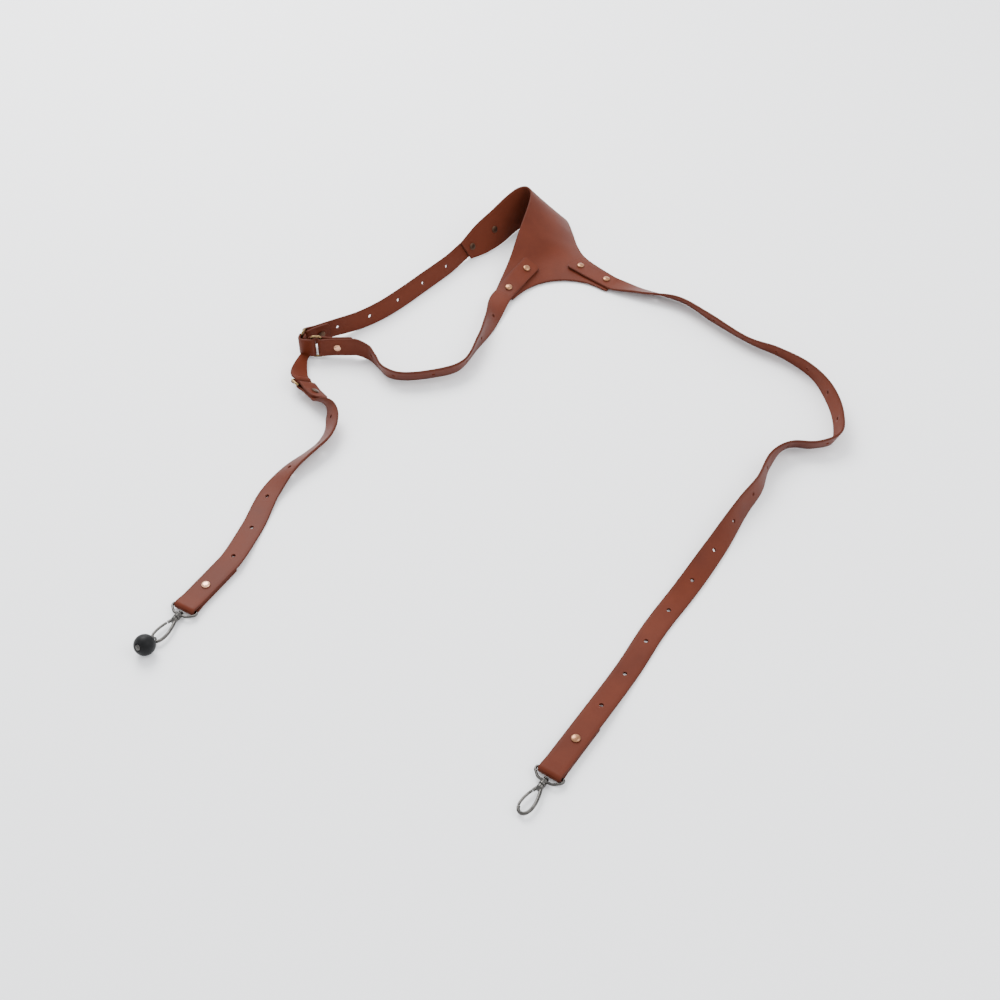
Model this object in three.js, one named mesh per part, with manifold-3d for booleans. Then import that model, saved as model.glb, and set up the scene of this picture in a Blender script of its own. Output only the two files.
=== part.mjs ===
// Three-point leather camera harness lying loose on a table, in millimetres, +Z up.
// +X runs to the right hook, +Y towards the wide yoke at the far end.
import * as THREE from 'three';
import { mergeVertices } from 'three/addons/utils/BufferGeometryUtils.js';
import Module from 'manifold-3d';

const wasm = await Module();
wasm.setup();

// Straps
const strapWidth = 21.5;
const leather = 2.4;
const clearance = 0.3;
const holeSize = 4.2;
const holePitch = 41;
const stepLength = 8;
const upperSpan = 233;
const upperBearing = -134.8;
const leftReach = 305;
const leftBearing = -104.4;
const rightReach = 654;
const rightBearing = -97.7;
const hookBearings = { left: 60, right: 56 };
const tails = { upper: 26, middle: 34, lower: 26, left: 60, right: 60 };
const studInsets = { upper: 16, middle: 17, lower: 15, left: 28, right: 37 };
// Hole pitches from each stud to the strap's first free hole.
const firstHoles = { upper: 0.5, middle: 1, left: 1, right: 1 };
const easeLength = 12;

// Yoke
const yokeSpread = 142;
const yokeReach = 140;
const yokeHeight = 50;
const armInset = 10;
const rivetPitch = 37;
const lapSeat = 0.15;

// Rings and hooks
const ringWire = 2.4;
const ringWindow = 7.4;
const sideClearance = 0.8;
const eyeDepth = 9;
const barrelSize = 6.4;
const barrelLength = 6;
const pinSize = 3;
const hookLength = 31;
const hookWidth = 13;
const hookWire = 3;
const gateWidth = 2.4;
const gateSpan = { from: 0.24, to: 0.8 };
const gateInset = 0.6;
const swivelClearance = 0.35;
const headSize = 8;
const headHeight = 1.8;
const capHeight = 0.8;
const shankSize = 3.2;
const ballSize = 19;
const ballFlat = 0.37;
const lipAngle = 0.36;
const pocketDepth = 2.4;
const pocketRim = 0.4;
const tipStandout = 0.6;
const screwSize = 6;
const screwEyeWire = 1.6;

const UP = new THREE.Vector3(0, 0, 1);
const degrees = Math.PI / 180;
const foldRadius = ringWire / 2 + clearance + leather / 2;
const barSpacing = ringWindow + ringWire;
const ringLength = strapWidth + 2 * sideClearance;

const finishes = {
  leather: new THREE.MeshStandardMaterial({ color: '#7a4033', roughness: 0.5, metalness: 0 }),
  rivet: new THREE.MeshStandardMaterial({ color: '#c98f6a', roughness: 0.3, metalness: 1 }),
  ring: new THREE.MeshStandardMaterial({ color: '#8a8378', roughness: 0.3, metalness: 1 }),
  hook: new THREE.MeshStandardMaterial({ color: '#6d6a66', roughness: 0.25, metalness: 1 }),
  rubber: new THREE.MeshStandardMaterial({ color: '#1b1b1c', roughness: 0.6, metalness: 0 }),
};

const model = new THREE.Group();

function vec(x, y, z = 0) {
  return new THREE.Vector3(x, y, z);
}

function mix(a, b, share) {
  return a.clone().lerp(b, share);
}

function smooth(share) {
  const s = Math.min(1, Math.max(0, share));
  return s * s * (3 - 2 * s);
}

// Solids for cutting and joining.
function toSolid(geometry) {
  const bare = geometry.clone();
  bare.deleteAttribute('normal');
  bare.deleteAttribute('uv');
  const merged = mergeVertices(bare, 1e-4);
  return new wasm.Manifold(new wasm.Mesh({
    numProp: 3,
    vertProperties: new Float32Array(merged.attributes.position.array),
    triVerts: new Uint32Array(merged.index.array),
  }));
}

function toGeometry(solid) {
  const mesh = solid.getMesh();
  const geometry = new THREE.BufferGeometry();
  geometry.setAttribute('position', new THREE.BufferAttribute(mesh.vertProperties, 3));
  geometry.setIndex(new THREE.BufferAttribute(mesh.triVerts, 1));
  return geometry;
}

function addPiece(name, geometry, finish) {
  const mesh = new THREE.Mesh(geometry, finishes[finish].clone());
  mesh.name = name;
  model.add(mesh);
  return mesh;
}

// A closed sheet: rows of points with their face normals, thickened by half each way.
function sheet(rows, thickness) {
  const columns = rows[0].length;
  const positions = [];
  const index = [];
  for (const side of [0.5, -0.5]) {
    for (const row of rows) {
      for (const { point, face } of row) {
        const p = point.clone().addScaledVector(face, side * thickness);
        positions.push(p.x, p.y, p.z);
      }
    }
  }
  const count = rows.length * columns;
  const quad = (a, b, c, d) => index.push(a, b, c, a, c, d);
  const top = (i, j) => i * columns + j;
  const bottom = (i, j) => count + i * columns + j;
  for (let i = 0; i < rows.length - 1; i += 1) {
    for (let j = 0; j < columns - 1; j += 1) {
      quad(top(i, j), top(i, j + 1), top(i + 1, j + 1), top(i + 1, j));
      quad(bottom(i, j), bottom(i + 1, j), bottom(i + 1, j + 1), bottom(i, j + 1));
    }
    quad(top(i, 0), top(i + 1, 0), bottom(i + 1, 0), bottom(i, 0));
    const j = columns - 1;
    quad(top(i, j), bottom(i, j), bottom(i + 1, j), top(i + 1, j));
  }
  const last = rows.length - 1;
  for (let j = 0; j < columns - 1; j += 1) {
    quad(top(0, j), bottom(0, j), bottom(0, j + 1), top(0, j + 1));
    quad(top(last, j), top(last, j + 1), bottom(last, j + 1), bottom(last, j));
  }
  const geometry = new THREE.BufferGeometry();
  geometry.setAttribute('position', new THREE.Float32BufferAttribute(positions, 3));
  geometry.setIndex(index);
  const solid = toSolid(geometry);
  if (solid.volume() > 0) {
    return solid;
  }
  for (let k = 0; k < index.length; k += 3) {
    [index[k], index[k + 1]] = [index[k + 1], index[k]];
  }
  geometry.setIndex(index);
  return toSolid(geometry);
}

// A station is one cross line of a strap: its centre, travel direction, the unit vector
// across it towards its left edge, and the normal of its grain face.
function station(centre, along, across) {
  const face = along.clone().cross(across).normalize();
  return { centre, along, across, face };
}

function restingHeight(lean, lift) {
  const angle = lean * degrees;
  return Math.abs(Math.sin(angle)) * strapWidth / 2 + Math.abs(Math.cos(angle)) * leather / 2 + lift;
}

function leanedStation(centre, heading, lean) {
  const along = heading.clone().normalize();
  const left = UP.clone().cross(along).normalize();
  left.multiplyScalar(Math.cos(lean * degrees));
  const across = left.addScaledVector(UP, Math.sin(lean * degrees));
  return station(centre, along, across);
}

function ribbonSolid(stations, width = strapWidth) {
  const rows = stations.map(({ centre, across, face }) => [-0.5, 0.5].map((side) => ({
    point: centre.clone().addScaledVector(across, side * width),
    face,
  })));
  return sheet(rows, leather);
}

// The free run between two fixed stations, through rows of along, aside, lean and lift.
function freeRun(from, to, rows) {
  const start = from[from.length - 1];
  const end = to[0];
  const span = end.centre.clone().sub(start.centre).setZ(0);
  const side = UP.clone().cross(span);
  const asRow = (s) => {
    const left = UP.clone().cross(s.along).setZ(0).normalize();
    const lean = Math.atan2(s.across.z, s.across.dot(left)) / degrees;
    return { centre: s.centre, lean, lift: s.centre.z - restingHeight(lean, 0) };
  };
  const placed = rows.map(({ along, aside, lean, lift = 0 }) => ({
    centre: start.centre.clone().addScaledVector(span, along).addScaledVector(side, aside),
    lean,
    lift: lift * strapWidth,
  }));
  const behind = asRow(start);
  behind.centre = start.centre.clone().addScaledVector(start.along, -2 * stepLength);
  const ahead = asRow(end);
  ahead.centre = end.centre.clone().addScaledVector(end.along, 2 * stepLength);
  const points = [behind, asRow(start), ...placed, asRow(end), ahead];
  const plan = points.map((p) => p.centre.clone().setZ(0));
  const leans = points.map((p) => vec(p.lean, p.lift));
  const route = new THREE.CatmullRomCurve3(plan, false, 'centripetal');
  const attitude = new THREE.CatmullRomCurve3(leans, false, 'catmullrom', 0.35);
  const stations = [];
  const gaps = points.length - 1;
  for (let k = 1; k < gaps - 1; k += 1) {
    const a = points[k].centre;
    const b = points[k + 1].centre;
    const steps = Math.max(2, Math.round(a.distanceTo(b) / stepLength));
    for (let i = k === 1 ? 1 : 0; i < steps; i += 1) {
      const t = (k + i / steps) / gaps;
      const { x: lean, y: lift } = attitude.getPoint(t);
      const centre = route.getPoint(t).setZ(restingHeight(lean, lift));
      stations.push(leanedStation(centre, route.getTangent(t), lean));
    }
  }
  return stations;
}

// The end of a strap folded round a bar. The run comes in towards the bar against `out`,
// on the grain side of the middle plane, and the tail returns under it.
function foldedEnd(bar, tail, run = tail + 2) {
  const { centre, out, axis } = bar;
  const grain = axis.clone().cross(out).normalize();
  const layerOffset = (leather + clearance) / 2;
  const offset = (s) => foldRadius + (layerOffset - foldRadius) * smooth(s / easeLength);
  const stations = [];
  const distances = [];
  for (let s = run; s > 0; s -= s > easeLength ? stepLength : easeLength / 4) {
    distances.push(s);
  }
  for (const s of distances) {
    const spot = centre.clone().addScaledVector(out, s).addScaledVector(grain, offset(s));
    stations.push({ centre: spot, along: out.clone().negate(), across: axis.clone(), face: grain.clone() });
  }
  const turns = 8;
  for (let i = 0; i <= turns; i += 1) {
    const angle = Math.PI * i / turns;
    const face = grain.clone().multiplyScalar(Math.cos(angle)).addScaledVector(out, -Math.sin(angle));
    stations.push({ centre: centre.clone().addScaledVector(face, foldRadius), face, across: axis.clone() });
  }
  const back = distances.filter((s) => s <= tail - stepLength / 2).reverse();
  for (const s of [...back, tail]) {
    const spot = centre.clone().addScaledVector(out, s).addScaledVector(grain, -offset(s));
    stations.push({ centre: spot, face: grain.clone().negate(), across: axis.clone() });
  }
  return stations;
}

function cylinderBetween(a, b, radius, sides = 12) {
  const length = a.distanceTo(b);
  const geometry = new THREE.CylinderGeometry(radius, radius, length, sides);
  const turn = new THREE.Quaternion().setFromUnitVectors(vec(0, 1, 0), b.clone().sub(a).normalize());
  geometry.applyQuaternion(turn);
  const middle = mix(a, b, 0.5);
  geometry.translate(middle.x, middle.y, middle.z);
  return geometry;
}

function punch(solid, spots, size, depth) {
  let cut = solid;
  for (const { centre, face } of spots) {
    const a = centre.clone().addScaledVector(face, -depth);
    const b = centre.clone().addScaledVector(face, depth);
    cut = cut.subtract(toSolid(cylinderBetween(a, b, size / 2, 10)));
  }
  return cut;
}

// Places at equal pitch along a run of stations, from one distance to another.
function spotsAlong(stations, from, to, pitch) {
  const spots = [];
  let travelled = 0;
  let next = from;
  for (let i = 1; i < stations.length; i += 1) {
    const a = stations[i - 1];
    const b = stations[i];
    const length = a.centre.distanceTo(b.centre);
    while (travelled + length >= next && next <= to) {
      const share = (next - travelled) / length;
      spots.push({
        centre: mix(a.centre, b.centre, share),
        face: mix(a.face, b.face, share).normalize(),
        raise: a.raise,
      });
      next += pitch;
    }
    travelled += length;
  }
  return spots;
}

function runLength(stations) {
  let total = 0;
  for (let i = 1; i < stations.length; i += 1) {
    total += stations[i].centre.distanceTo(stations[i - 1].centre);
  }
  return total;
}

// A rivet or stud from the leather's front face to its back face: a domed head in front, a
// flat cap behind, each a clearance off the leather, and a shank through the holes.
function fastener(name, front, back, face) {
  const top = clearance;
  const bottom = -front.distanceTo(back) - clearance;
  const profile = [
    [0, bottom - capHeight], [headSize * 0.36, bottom - capHeight], [headSize * 0.4, bottom],
    [shankSize / 2, bottom], [shankSize / 2, top], [headSize / 2, top],
    [headSize * 0.47, top + headHeight * 0.45], [headSize * 0.3, top + headHeight * 0.85],
    [0, top + headHeight],
  ].map(([x, y]) => new THREE.Vector2(x, y));
  const geometry = new THREE.LatheGeometry(profile, 12);
  geometry.applyQuaternion(new THREE.Quaternion().setFromUnitVectors(vec(0, 1, 0), face));
  geometry.translate(front.x, front.y, front.z);
  addPiece(name, toGeometry(toSolid(geometry)), 'rivet');
}

// Yoke: a three-armed leather back piece. Its long arm stands on edge, turns over at the
// apex and comes back as a sloping panel that ends in two short arms. Each row is one
// straight line across the leather, from its high edge to its low edge, as shares of
// yokeSpread, yokeReach and yokeHeight from the middle of the hollow between the arms.
const yokeOrigin = vec(40, 330);
const yokeRows = [
  { leftX: -0.60, leftY: 0.44, leftZ: 0.48, rightX: -0.52, rightY: 0.46, rightZ: 0.025 },
  { leftX: -0.48, leftY: 0.62, leftZ: 0.64, rightX: -0.395, rightY: 0.54, rightZ: 0.025 },
  { leftX: -0.35, leftY: 0.75, leftZ: 0.80, rightX: -0.26, rightY: 0.69, rightZ: 0.025 },
  { leftX: -0.23, leftY: 0.88, leftZ: 0.94, rightX: -0.15, rightY: 0.86, rightZ: 0.025 },
  { leftX: -0.14, leftY: 0.97, leftZ: 1.00, rightX: -0.02, rightY: 1.01, rightZ: 0.025 },
  { leftX: -0.07, leftY: 0.99, leftZ: 1.01, rightX: 0.14, rightY: 1.10, rightZ: 0.03 },
  { leftX: -0.03, leftY: 0.92, leftZ: 0.99, rightX: 0.27, rightY: 1.02, rightZ: 0.04 },
  { leftX: -0.05, leftY: 0.78, leftZ: 0.90, rightX: 0.32, rightY: 0.83, rightZ: 0.03 },
  { leftX: -0.13, leftY: 0.52, leftZ: 0.66, rightX: 0.36, rightY: 0.61, rightZ: 0.03 },
  { leftX: -0.21, leftY: 0.28, leftZ: 0.34, rightX: 0.44, rightY: 0.42, rightZ: 0.04 },
  { leftX: -0.32, leftY: -0.03, leftZ: 0.09, rightX: 0.676, rightY: 0.14, rightZ: 0.05 },
];
// The near edge, from the end of the middle strap's arm to that of the right strap's arm.
const yokeHem = [
  { x: -0.32, y: -0.03, z: 0.09 },
  { x: -0.18, y: -0.12, z: 0.05 },
  { x: -0.08, y: 0.01, z: 0.045 },
  { x: 0.06, y: 0.11, z: 0.045 },
  { x: 0.22, y: 0.145, z: 0.045 },
  { x: 0.40, y: 0.11, z: 0.045 },
  { x: 0.56, y: 0.0, z: 0.045 },
  { x: 0.676, y: 0.14, z: 0.05 },
];
const middleArmBearing = 58;
const rightArmBearing = 140;
const lapGap = 0.5;
const strapMargin = 12;
const yokeSteps = 32;
const yokeColumns = 11;

function yokePlace(x, y, z) {
  return vec(x * yokeSpread, y * yokeReach, z * yokeHeight).add(yokeOrigin);
}

const leftPoints = yokeRows.map((r) => yokePlace(r.leftX, r.leftY, r.leftZ));
const rightPoints = yokeRows.map((r) => yokePlace(r.rightX, r.rightY, r.rightZ));
const yokeLeft = new THREE.CatmullRomCurve3(leftPoints, false, 'catmullrom', 0.5);
const yokeRight = new THREE.CatmullRomCurve3(rightPoints, false, 'catmullrom', 0.5);
const hemPoints = yokeHem.map((p) => yokePlace(p.x, p.y, p.z));
const hemHollow = new THREE.CatmullRomCurve3(hemPoints.slice(1, 7), false, 'centripetal');
const armShare = 0.2;

function hemAt(u) {
  if (u <= armShare) {
    return mix(hemPoints[0], hemPoints[1], u / armShare);
  }
  if (u >= 1 - armShare) {
    return mix(hemPoints[6], hemPoints[7], (u - 1 + armShare) / armShare);
  }
  return hemHollow.getPoint((u - armShare) / (1 - 2 * armShare));
}

function yokePoint(u, v) {
  const straight = mix(yokeLeft.getPoint(v), yokeRight.getPoint(v), u);
  const hemStart = 0.78;
  const pull = Math.max(0, (v - hemStart) / (1 - hemStart));
  const chord = mix(hemPoints[0], hemPoints[7], u);
  return straight.addScaledVector(hemAt(u).sub(chord), pull * pull);
}

function surfaceFace(surface, u, v) {
  const d = 0.004;
  const [u0, u1] = [Math.max(0, u - d), Math.min(1, u + d)];
  const [v0, v1] = [Math.max(0, v - d), Math.min(1, v + d)];
  const acrossU = surface(u1, v).sub(surface(u0, v));
  const alongV = surface(u, v1).sub(surface(u, v0));
  return alongV.cross(acrossU).normalize();
}

function surfaceRows(surface, columns, steps) {
  const rows = [];
  for (let i = 0; i <= steps; i += 1) {
    const row = [];
    for (let j = 0; j < columns; j += 1) {
      const [u, v] = [j / (columns - 1), i / steps];
      row.push({ point: surface(u, v), face: surfaceFace(surface, u, v) });
    }
    rows.push(row);
  }
  return rows;
}

// Finds the yoke's sloping panel under a plan position.
function panelAt(x, y) {
  let [u, v] = [0.5, 0.85];
  for (let i = 0; i < 30; i += 1) {
    const d = 0.002;
    const p = yokePoint(u, v);
    const pu = yokePoint(u + d, v).sub(p).divideScalar(d);
    const pv = yokePoint(u, v - d).sub(p).divideScalar(-d);
    const det = pu.x * pv.y - pu.y * pv.x;
    const [ex, ey] = [x - p.x, y - p.y];
    u = Math.min(1, Math.max(0, u + 0.7 * (ex * pv.y - ey * pv.x) / det));
    v = Math.min(1, Math.max(0.6, v + 0.7 * (pu.x * ey - pu.y * ex) / det));
  }
  return { centre: yokePoint(u, v), face: surfaceFace(yokePoint, u, v) };
}

const lapTotal = strapMargin + rivetPitch + armInset;

// The strap riveted on top of one of the panel's arms, from its inner end outwards.
function panelLap(tip, bearing) {
  const inward = vec(Math.cos(bearing * degrees), Math.sin(bearing * degrees));
  const left = UP.clone().cross(inward.clone().negate());
  const stations = [];
  for (let s = lapTotal; s >= -0.001; s -= lapTotal / 12) {
    const plan = tip.clone().addScaledVector(inward, s);
    const middle = panelAt(plan.x, plan.y);
    const half = strapWidth / 2;
    const a = panelAt(plan.x + left.x * half, plan.y + left.y * half).centre;
    const b = panelAt(plan.x - left.x * half, plan.y - left.y * half).centre;
    const across = a.sub(b).normalize();
    const near = panelAt(plan.x + inward.x, plan.y + inward.y).centre;
    const along = panelAt(plan.x - inward.x, plan.y - inward.y).centre.sub(near).normalize();
    const face = along.clone().cross(across).normalize();
    const chord = mix(a, b, 0.5);
    const bulges = [-1, -0.5, 0, 0.5, 1].map((share) => {
      const place = panelAt(plan.x + left.x * half * share, plan.y + left.y * half * share);
      return place.centre.sub(chord).dot(face);
    });
    const lay = middle.centre.clone().sub(chord).dot(face);
    const raise = leather + lapGap + Math.max(...bulges) - lay;
    const centre = middle.centre.clone().addScaledVector(face, raise);
    stations.push({ centre, along, across, face, raise });
  }
  return stations;
}

// The upper strap riveted behind the long arm, from its hidden end to the arm's end.
function armLap() {
  const spots = [];
  let travelled = 0;
  let v = 0;
  let last = yokePoint(0.5, 0);
  while (travelled < lapTotal) {
    spots.push({ v, travelled });
    v += 0.006;
    const next = yokePoint(0.5, v);
    travelled += next.distanceTo(last);
    last = next;
  }
  const stations = [];
  for (let k = 0; k < spots.length; k += 3) {
    const at = spots[k].v;
    const face = surfaceFace(yokePoint, 0.5, at);
    const across = yokePoint(0.3, at).sub(yokePoint(0.7, at)).normalize();
    const along = across.clone().cross(face).normalize();
    const raise = leather + lapGap;
    const centre = yokePoint(0.5, at).addScaledVector(face, raise);
    stations.unshift({ centre, along, across, face, raise });
  }
  return stations;
}

function reversed(stations) {
  return stations.slice().reverse().map((s) => ({
    centre: s.centre,
    face: s.face,
    along: (s.along ?? vec(1, 0)).clone().negate(),
    across: s.across.clone().negate(),
  }));
}

// Bars that leather folds round. The axis is the strap's left edge when it travels to the bar.
function bar(centre, bearing, lean) {
  const out = vec(Math.cos(bearing * degrees), Math.sin(bearing * degrees));
  const left = UP.clone().cross(out.clone().negate());
  left.multiplyScalar(Math.cos(lean * degrees));
  const axis = left.addScaledVector(UP, Math.sin(lean * degrees));
  return { centre, out, axis };
}

const hookPlane = leather + foldRadius - leather / 2 + clearance;

// Rings, each a rounded rectangle with one bar for the strap and one for the connector.
function ringPiece(name, strapBar, axis, inward) {
  const shape = new THREE.Shape();
  const half = { x: barSpacing / 2 + ringWire / 2, y: ringLength / 2 + ringWire };
  const corner = ringWire * 1.1;
  const outline = (target, x, y, r) => {
    target.moveTo(-x + r, -y);
    target.lineTo(x - r, -y);
    target.quadraticCurveTo(x, -y, x, -y + r);
    target.lineTo(x, y - r);
    target.quadraticCurveTo(x, y, x - r, y);
    target.lineTo(-x + r, y);
    target.quadraticCurveTo(-x, y, -x, y - r);
    target.lineTo(-x, -y + r);
    target.quadraticCurveTo(-x, -y, -x + r, -y);
  };
  const bevel = ringWire * 0.25;
  outline(shape, half.x - bevel, half.y - bevel, corner);
  const hole = new THREE.Path();
  outline(hole, half.x - ringWire + bevel, half.y - ringWire + bevel, corner * 0.5);
  shape.holes.push(hole);
  const geometry = new THREE.ExtrudeGeometry(shape, {
    depth: ringWire - 2 * bevel,
    bevelThickness: bevel,
    bevelSize: bevel,
    bevelSegments: 1,
    curveSegments: 3,
  });
  geometry.translate(0, 0, -ringWire / 2 + bevel);
  const normal = inward.clone().cross(axis).normalize();
  const basis = new THREE.Matrix4().makeBasis(inward, axis, normal);
  geometry.applyMatrix4(basis);
  const centre = strapBar.clone().addScaledVector(inward, barSpacing / 2);
  geometry.translate(centre.x, centre.y, centre.z);
  addPiece(name, toGeometry(toSolid(geometry)), 'ring');
}

function barFrame(centre, axis, bearing) {
  const hint = vec(Math.cos(bearing * degrees), Math.sin(bearing * degrees));
  const out = hint.addScaledVector(axis, -hint.dot(axis)).normalize();
  return { centre, axis: axis.clone(), out };
}

function atBearing(from, distance, bearing) {
  return from.clone().add(vec(Math.cos(bearing * degrees) * distance, Math.sin(bearing * degrees) * distance));
}

// Laps on the yoke.
const upperLap = armLap();
const middleTip = mix(hemPoints[0], hemPoints[1], 0.5);
const rightTip = mix(hemPoints[6], hemPoints[7], 0.5);
const middleLap = panelLap(middleTip, middleArmBearing);
const rightLap = panelLap(rightTip, rightArmBearing);

// The three rings stand where the straps put them.
const upperRing = { bearing: 29, lean: 90, inward: -107, arm: -101 };
const middleRing = { x: 17, y: -15, bearing: 0, lean: -90, inward: 180, arm: 180 };
const lowerRing = { x: 6, y: -72, bearing: -52, lean: -146, inward: 128, arm: 128 };

function placeRing(spec, place) {
  const height = (ringLength / 2 + ringWire) * Math.abs(Math.sin(spec.lean * degrees)) + ringWire / 2;
  const strapBar = bar(place.clone().setZ(height), spec.bearing, spec.lean);
  const { out: inward } = barFrame(strapBar.centre, strapBar.axis, spec.inward);
  const innerBar = {
    centre: strapBar.centre.clone().addScaledVector(inward, barSpacing),
    axis: strapBar.axis.clone().negate(),
  };
  return { strapBar, inward, innerBar };
}

const connectorPlace = atBearing(upperLap[upperLap.length - 1].centre, upperSpan, upperBearing);
const upper = placeRing(upperRing, connectorPlace);
const middle = placeRing(middleRing, connectorPlace.clone().add(vec(middleRing.x, middleRing.y)));
const lower = placeRing(lowerRing, connectorPlace.clone().add(vec(lowerRing.x, lowerRing.y)));
ringPiece('ring_upper', upper.strapBar.centre, upper.strapBar.axis, upper.inward);
ringPiece('ring_middle', middle.strapBar.centre, middle.strapBar.axis, middle.inward);
ringPiece('ring_lower', lower.strapBar.centre, lower.strapBar.axis, lower.inward);

// Connector: a small three-armed leather piece, each arm turned round its ring's inner bar.
const connectorTail = 4.5;
const connectorRun = 4.5;
const connectorArms = {
  upper: barFrame(upper.innerBar.centre, upper.innerBar.axis, upperRing.arm),
  middle: barFrame(middle.innerBar.centre, middle.innerBar.axis, middleRing.arm),
  lower: barFrame(lower.innerBar.centre, lower.strapBar.axis, lowerRing.arm),
};

function connectorEnd(arm) {
  const stations = foldedEnd(arm, connectorTail, connectorRun);
  return { stations, start: stations[1] };
}

const ends = {
  upper: connectorEnd(connectorArms.upper),
  middle: connectorEnd(connectorArms.middle),
  lower: connectorEnd(connectorArms.lower),
};

function cornerOf(end, side) {
  return end.start.centre.clone().addScaledVector(end.start.across, side * strapWidth / 2);
}

const connectorSplit = 0.42;
const farPull = { top: 9, foot: 13 };
const nearPull = { top: 4, foot: 4 };
const connectorBulge = 5;

// One long side of the connector: down a ring's bar, then on to the lower ring.
function connectorSide(top, bottom, foot, out, pull, v) {
  if (v <= connectorSplit) {
    return mix(top, bottom, v / connectorSplit);
  }
  const edge = new THREE.CubicBezierCurve3(
    bottom,
    bottom.clone().addScaledVector(out, pull.top),
    foot.clone().addScaledVector(connectorArms.lower.out, pull.foot),
    foot,
  );
  return edge.getPoint((v - connectorSplit) / (1 - connectorSplit));
}

function connectorPoint(u, v) {
  const { upper: upperArm, middle: middleArm } = connectorArms;
  const farCorners = [cornerOf(ends.upper, -1), cornerOf(ends.upper, 1), cornerOf(ends.lower, -1)];
  const nearCorners = [cornerOf(ends.middle, 1), cornerOf(ends.middle, -1), cornerOf(ends.lower, 1)];
  const left = connectorSide(...farCorners, upperArm.out, farPull, v);
  const right = connectorSide(...nearCorners, middleArm.out, nearPull, v);
  const flat = smooth(v);
  const chord = right.clone().sub(left).divideScalar(3);
  const bulge = connectorBulge * (1 - flat);
  const nearLeft = left.clone().addScaledVector(upperArm.out, bulge).addScaledVector(chord, flat);
  const nearRight = right.clone().addScaledVector(middleArm.out, bulge).addScaledVector(chord, -flat);
  return new THREE.CubicBezierCurve3(left, nearLeft, nearRight, right).getPoint(u);
}

let connector = sheet(surfaceRows(connectorPoint, 9, 14), leather);
for (const end of Object.values(ends)) {
  connector = connector.add(ribbonSolid(end.stations));
}
addPiece('connector', toGeometry(connector), 'leather');

// Hooks: an eye for the strap with a swivel barrel, a sprung hook on a pin, and its gate.
const rightArmEnd = rightLap[rightLap.length - 1].centre;
const leftHookPlace = atBearing(lower.strapBar.centre, leftReach, leftBearing).setZ(hookPlane);
const rightHookPlace = atBearing(rightArmEnd, rightReach, rightBearing).setZ(hookPlane);
const hookBars = {
  left: bar(leftHookPlace, hookBearings.left, 0),
  right: bar(rightHookPlace, hookBearings.right, 0),
};

function plate(points, holePoints, thickness, bevel) {
  const shape = new THREE.Shape(points.map(([x, y]) => new THREE.Vector2(x, y)));
  if (holePoints) {
    shape.holes.push(new THREE.Path(holePoints.map(([x, y]) => new THREE.Vector2(x, y))));
  }
  const geometry = new THREE.ExtrudeGeometry(shape, {
    depth: thickness - 2 * bevel,
    bevelThickness: bevel,
    bevelSize: bevel,
    bevelOffset: -bevel,
    bevelSegments: 1,
  });
  geometry.translate(0, 0, -thickness / 2 + bevel);
  return toSolid(geometry);
}

function rod(x0, x1, radius, sides = 14) {
  return toSolid(cylinderBetween(vec(x0, 0), vec(x1, 0), radius, sides));
}

// The eye frames the folded strap end: its bar at x = 0, its narrower front bar at eyeDepth,
// whose width is a share of the strap bar's.
const eyeFront = { outer: 0.62, inner: 0.55 };

function eyeSolid() {
  const half = ringLength / 2;
  const wire = ringWire;
  const front = { inner: eyeDepth - wire / 2, outer: eyeDepth + wire / 2 };
  const outer = [
    [-wire / 2, -half - wire],
    [wire * 1.6, -half - wire],
    [front.outer, -half * eyeFront.outer],
    [front.outer, half * eyeFront.outer],
    [wire * 1.6, half + wire],
    [-wire / 2, half + wire],
  ];
  const inner = [
    [wire / 2, -half],
    [wire * 1.35, -half],
    [front.inner, -half * eyeFront.inner],
    [front.inner, half * eyeFront.inner],
    [wire * 1.35, half],
    [wire / 2, half],
  ];
  const frame = plate(outer, inner, wire, wire * 0.25);
  const barrelStart = eyeDepth - wire / 2;
  const barrel = rod(barrelStart, barrelStart + barrelLength, barrelSize / 2);
  const bore = rod(barrelStart - 1, barrelStart + barrelLength + 1, pinSize / 2 + swivelClearance);
  return frame.add(barrel).subtract(bore);
}

const hookStart = eyeDepth - ringWire / 2 + barrelLength + swivelClearance;

// Half the width of the hook's loop at a share of its length.
function loopHalf(share, width) {
  return width * Math.sqrt(Math.max(0, share) * (1 - share)) * (0.62 + 0.76 * share);
}

function loopOutline(inset) {
  const points = [];
  const count = 16;
  const length = hookLength - 2 * inset;
  for (let i = 0; i <= count; i += 1) {
    const share = 0.5 - 0.5 * Math.cos(Math.PI * i / count);
    points.push([hookStart + inset + length * share, -loopHalf(share, hookWidth - 2 * inset)]);
  }
  for (let i = count - 1; i > 0; i -= 1) {
    const [x, y] = points[i];
    points.push([x, -y]);
  }
  return points;
}

const pinHeadHeight = 1.2;
const gateStart = hookStart + hookLength * gateSpan.from;
const gateEnd = hookStart + hookLength * gateSpan.to;

function boxSolid(x0, x1, y0, y1) {
  const geometry = new THREE.BoxGeometry(x1 - x0, y1 - y0, hookWire * 3);
  geometry.translate((x0 + x1) / 2, (y0 + y1) / 2, 0);
  return toSolid(geometry);
}

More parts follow.
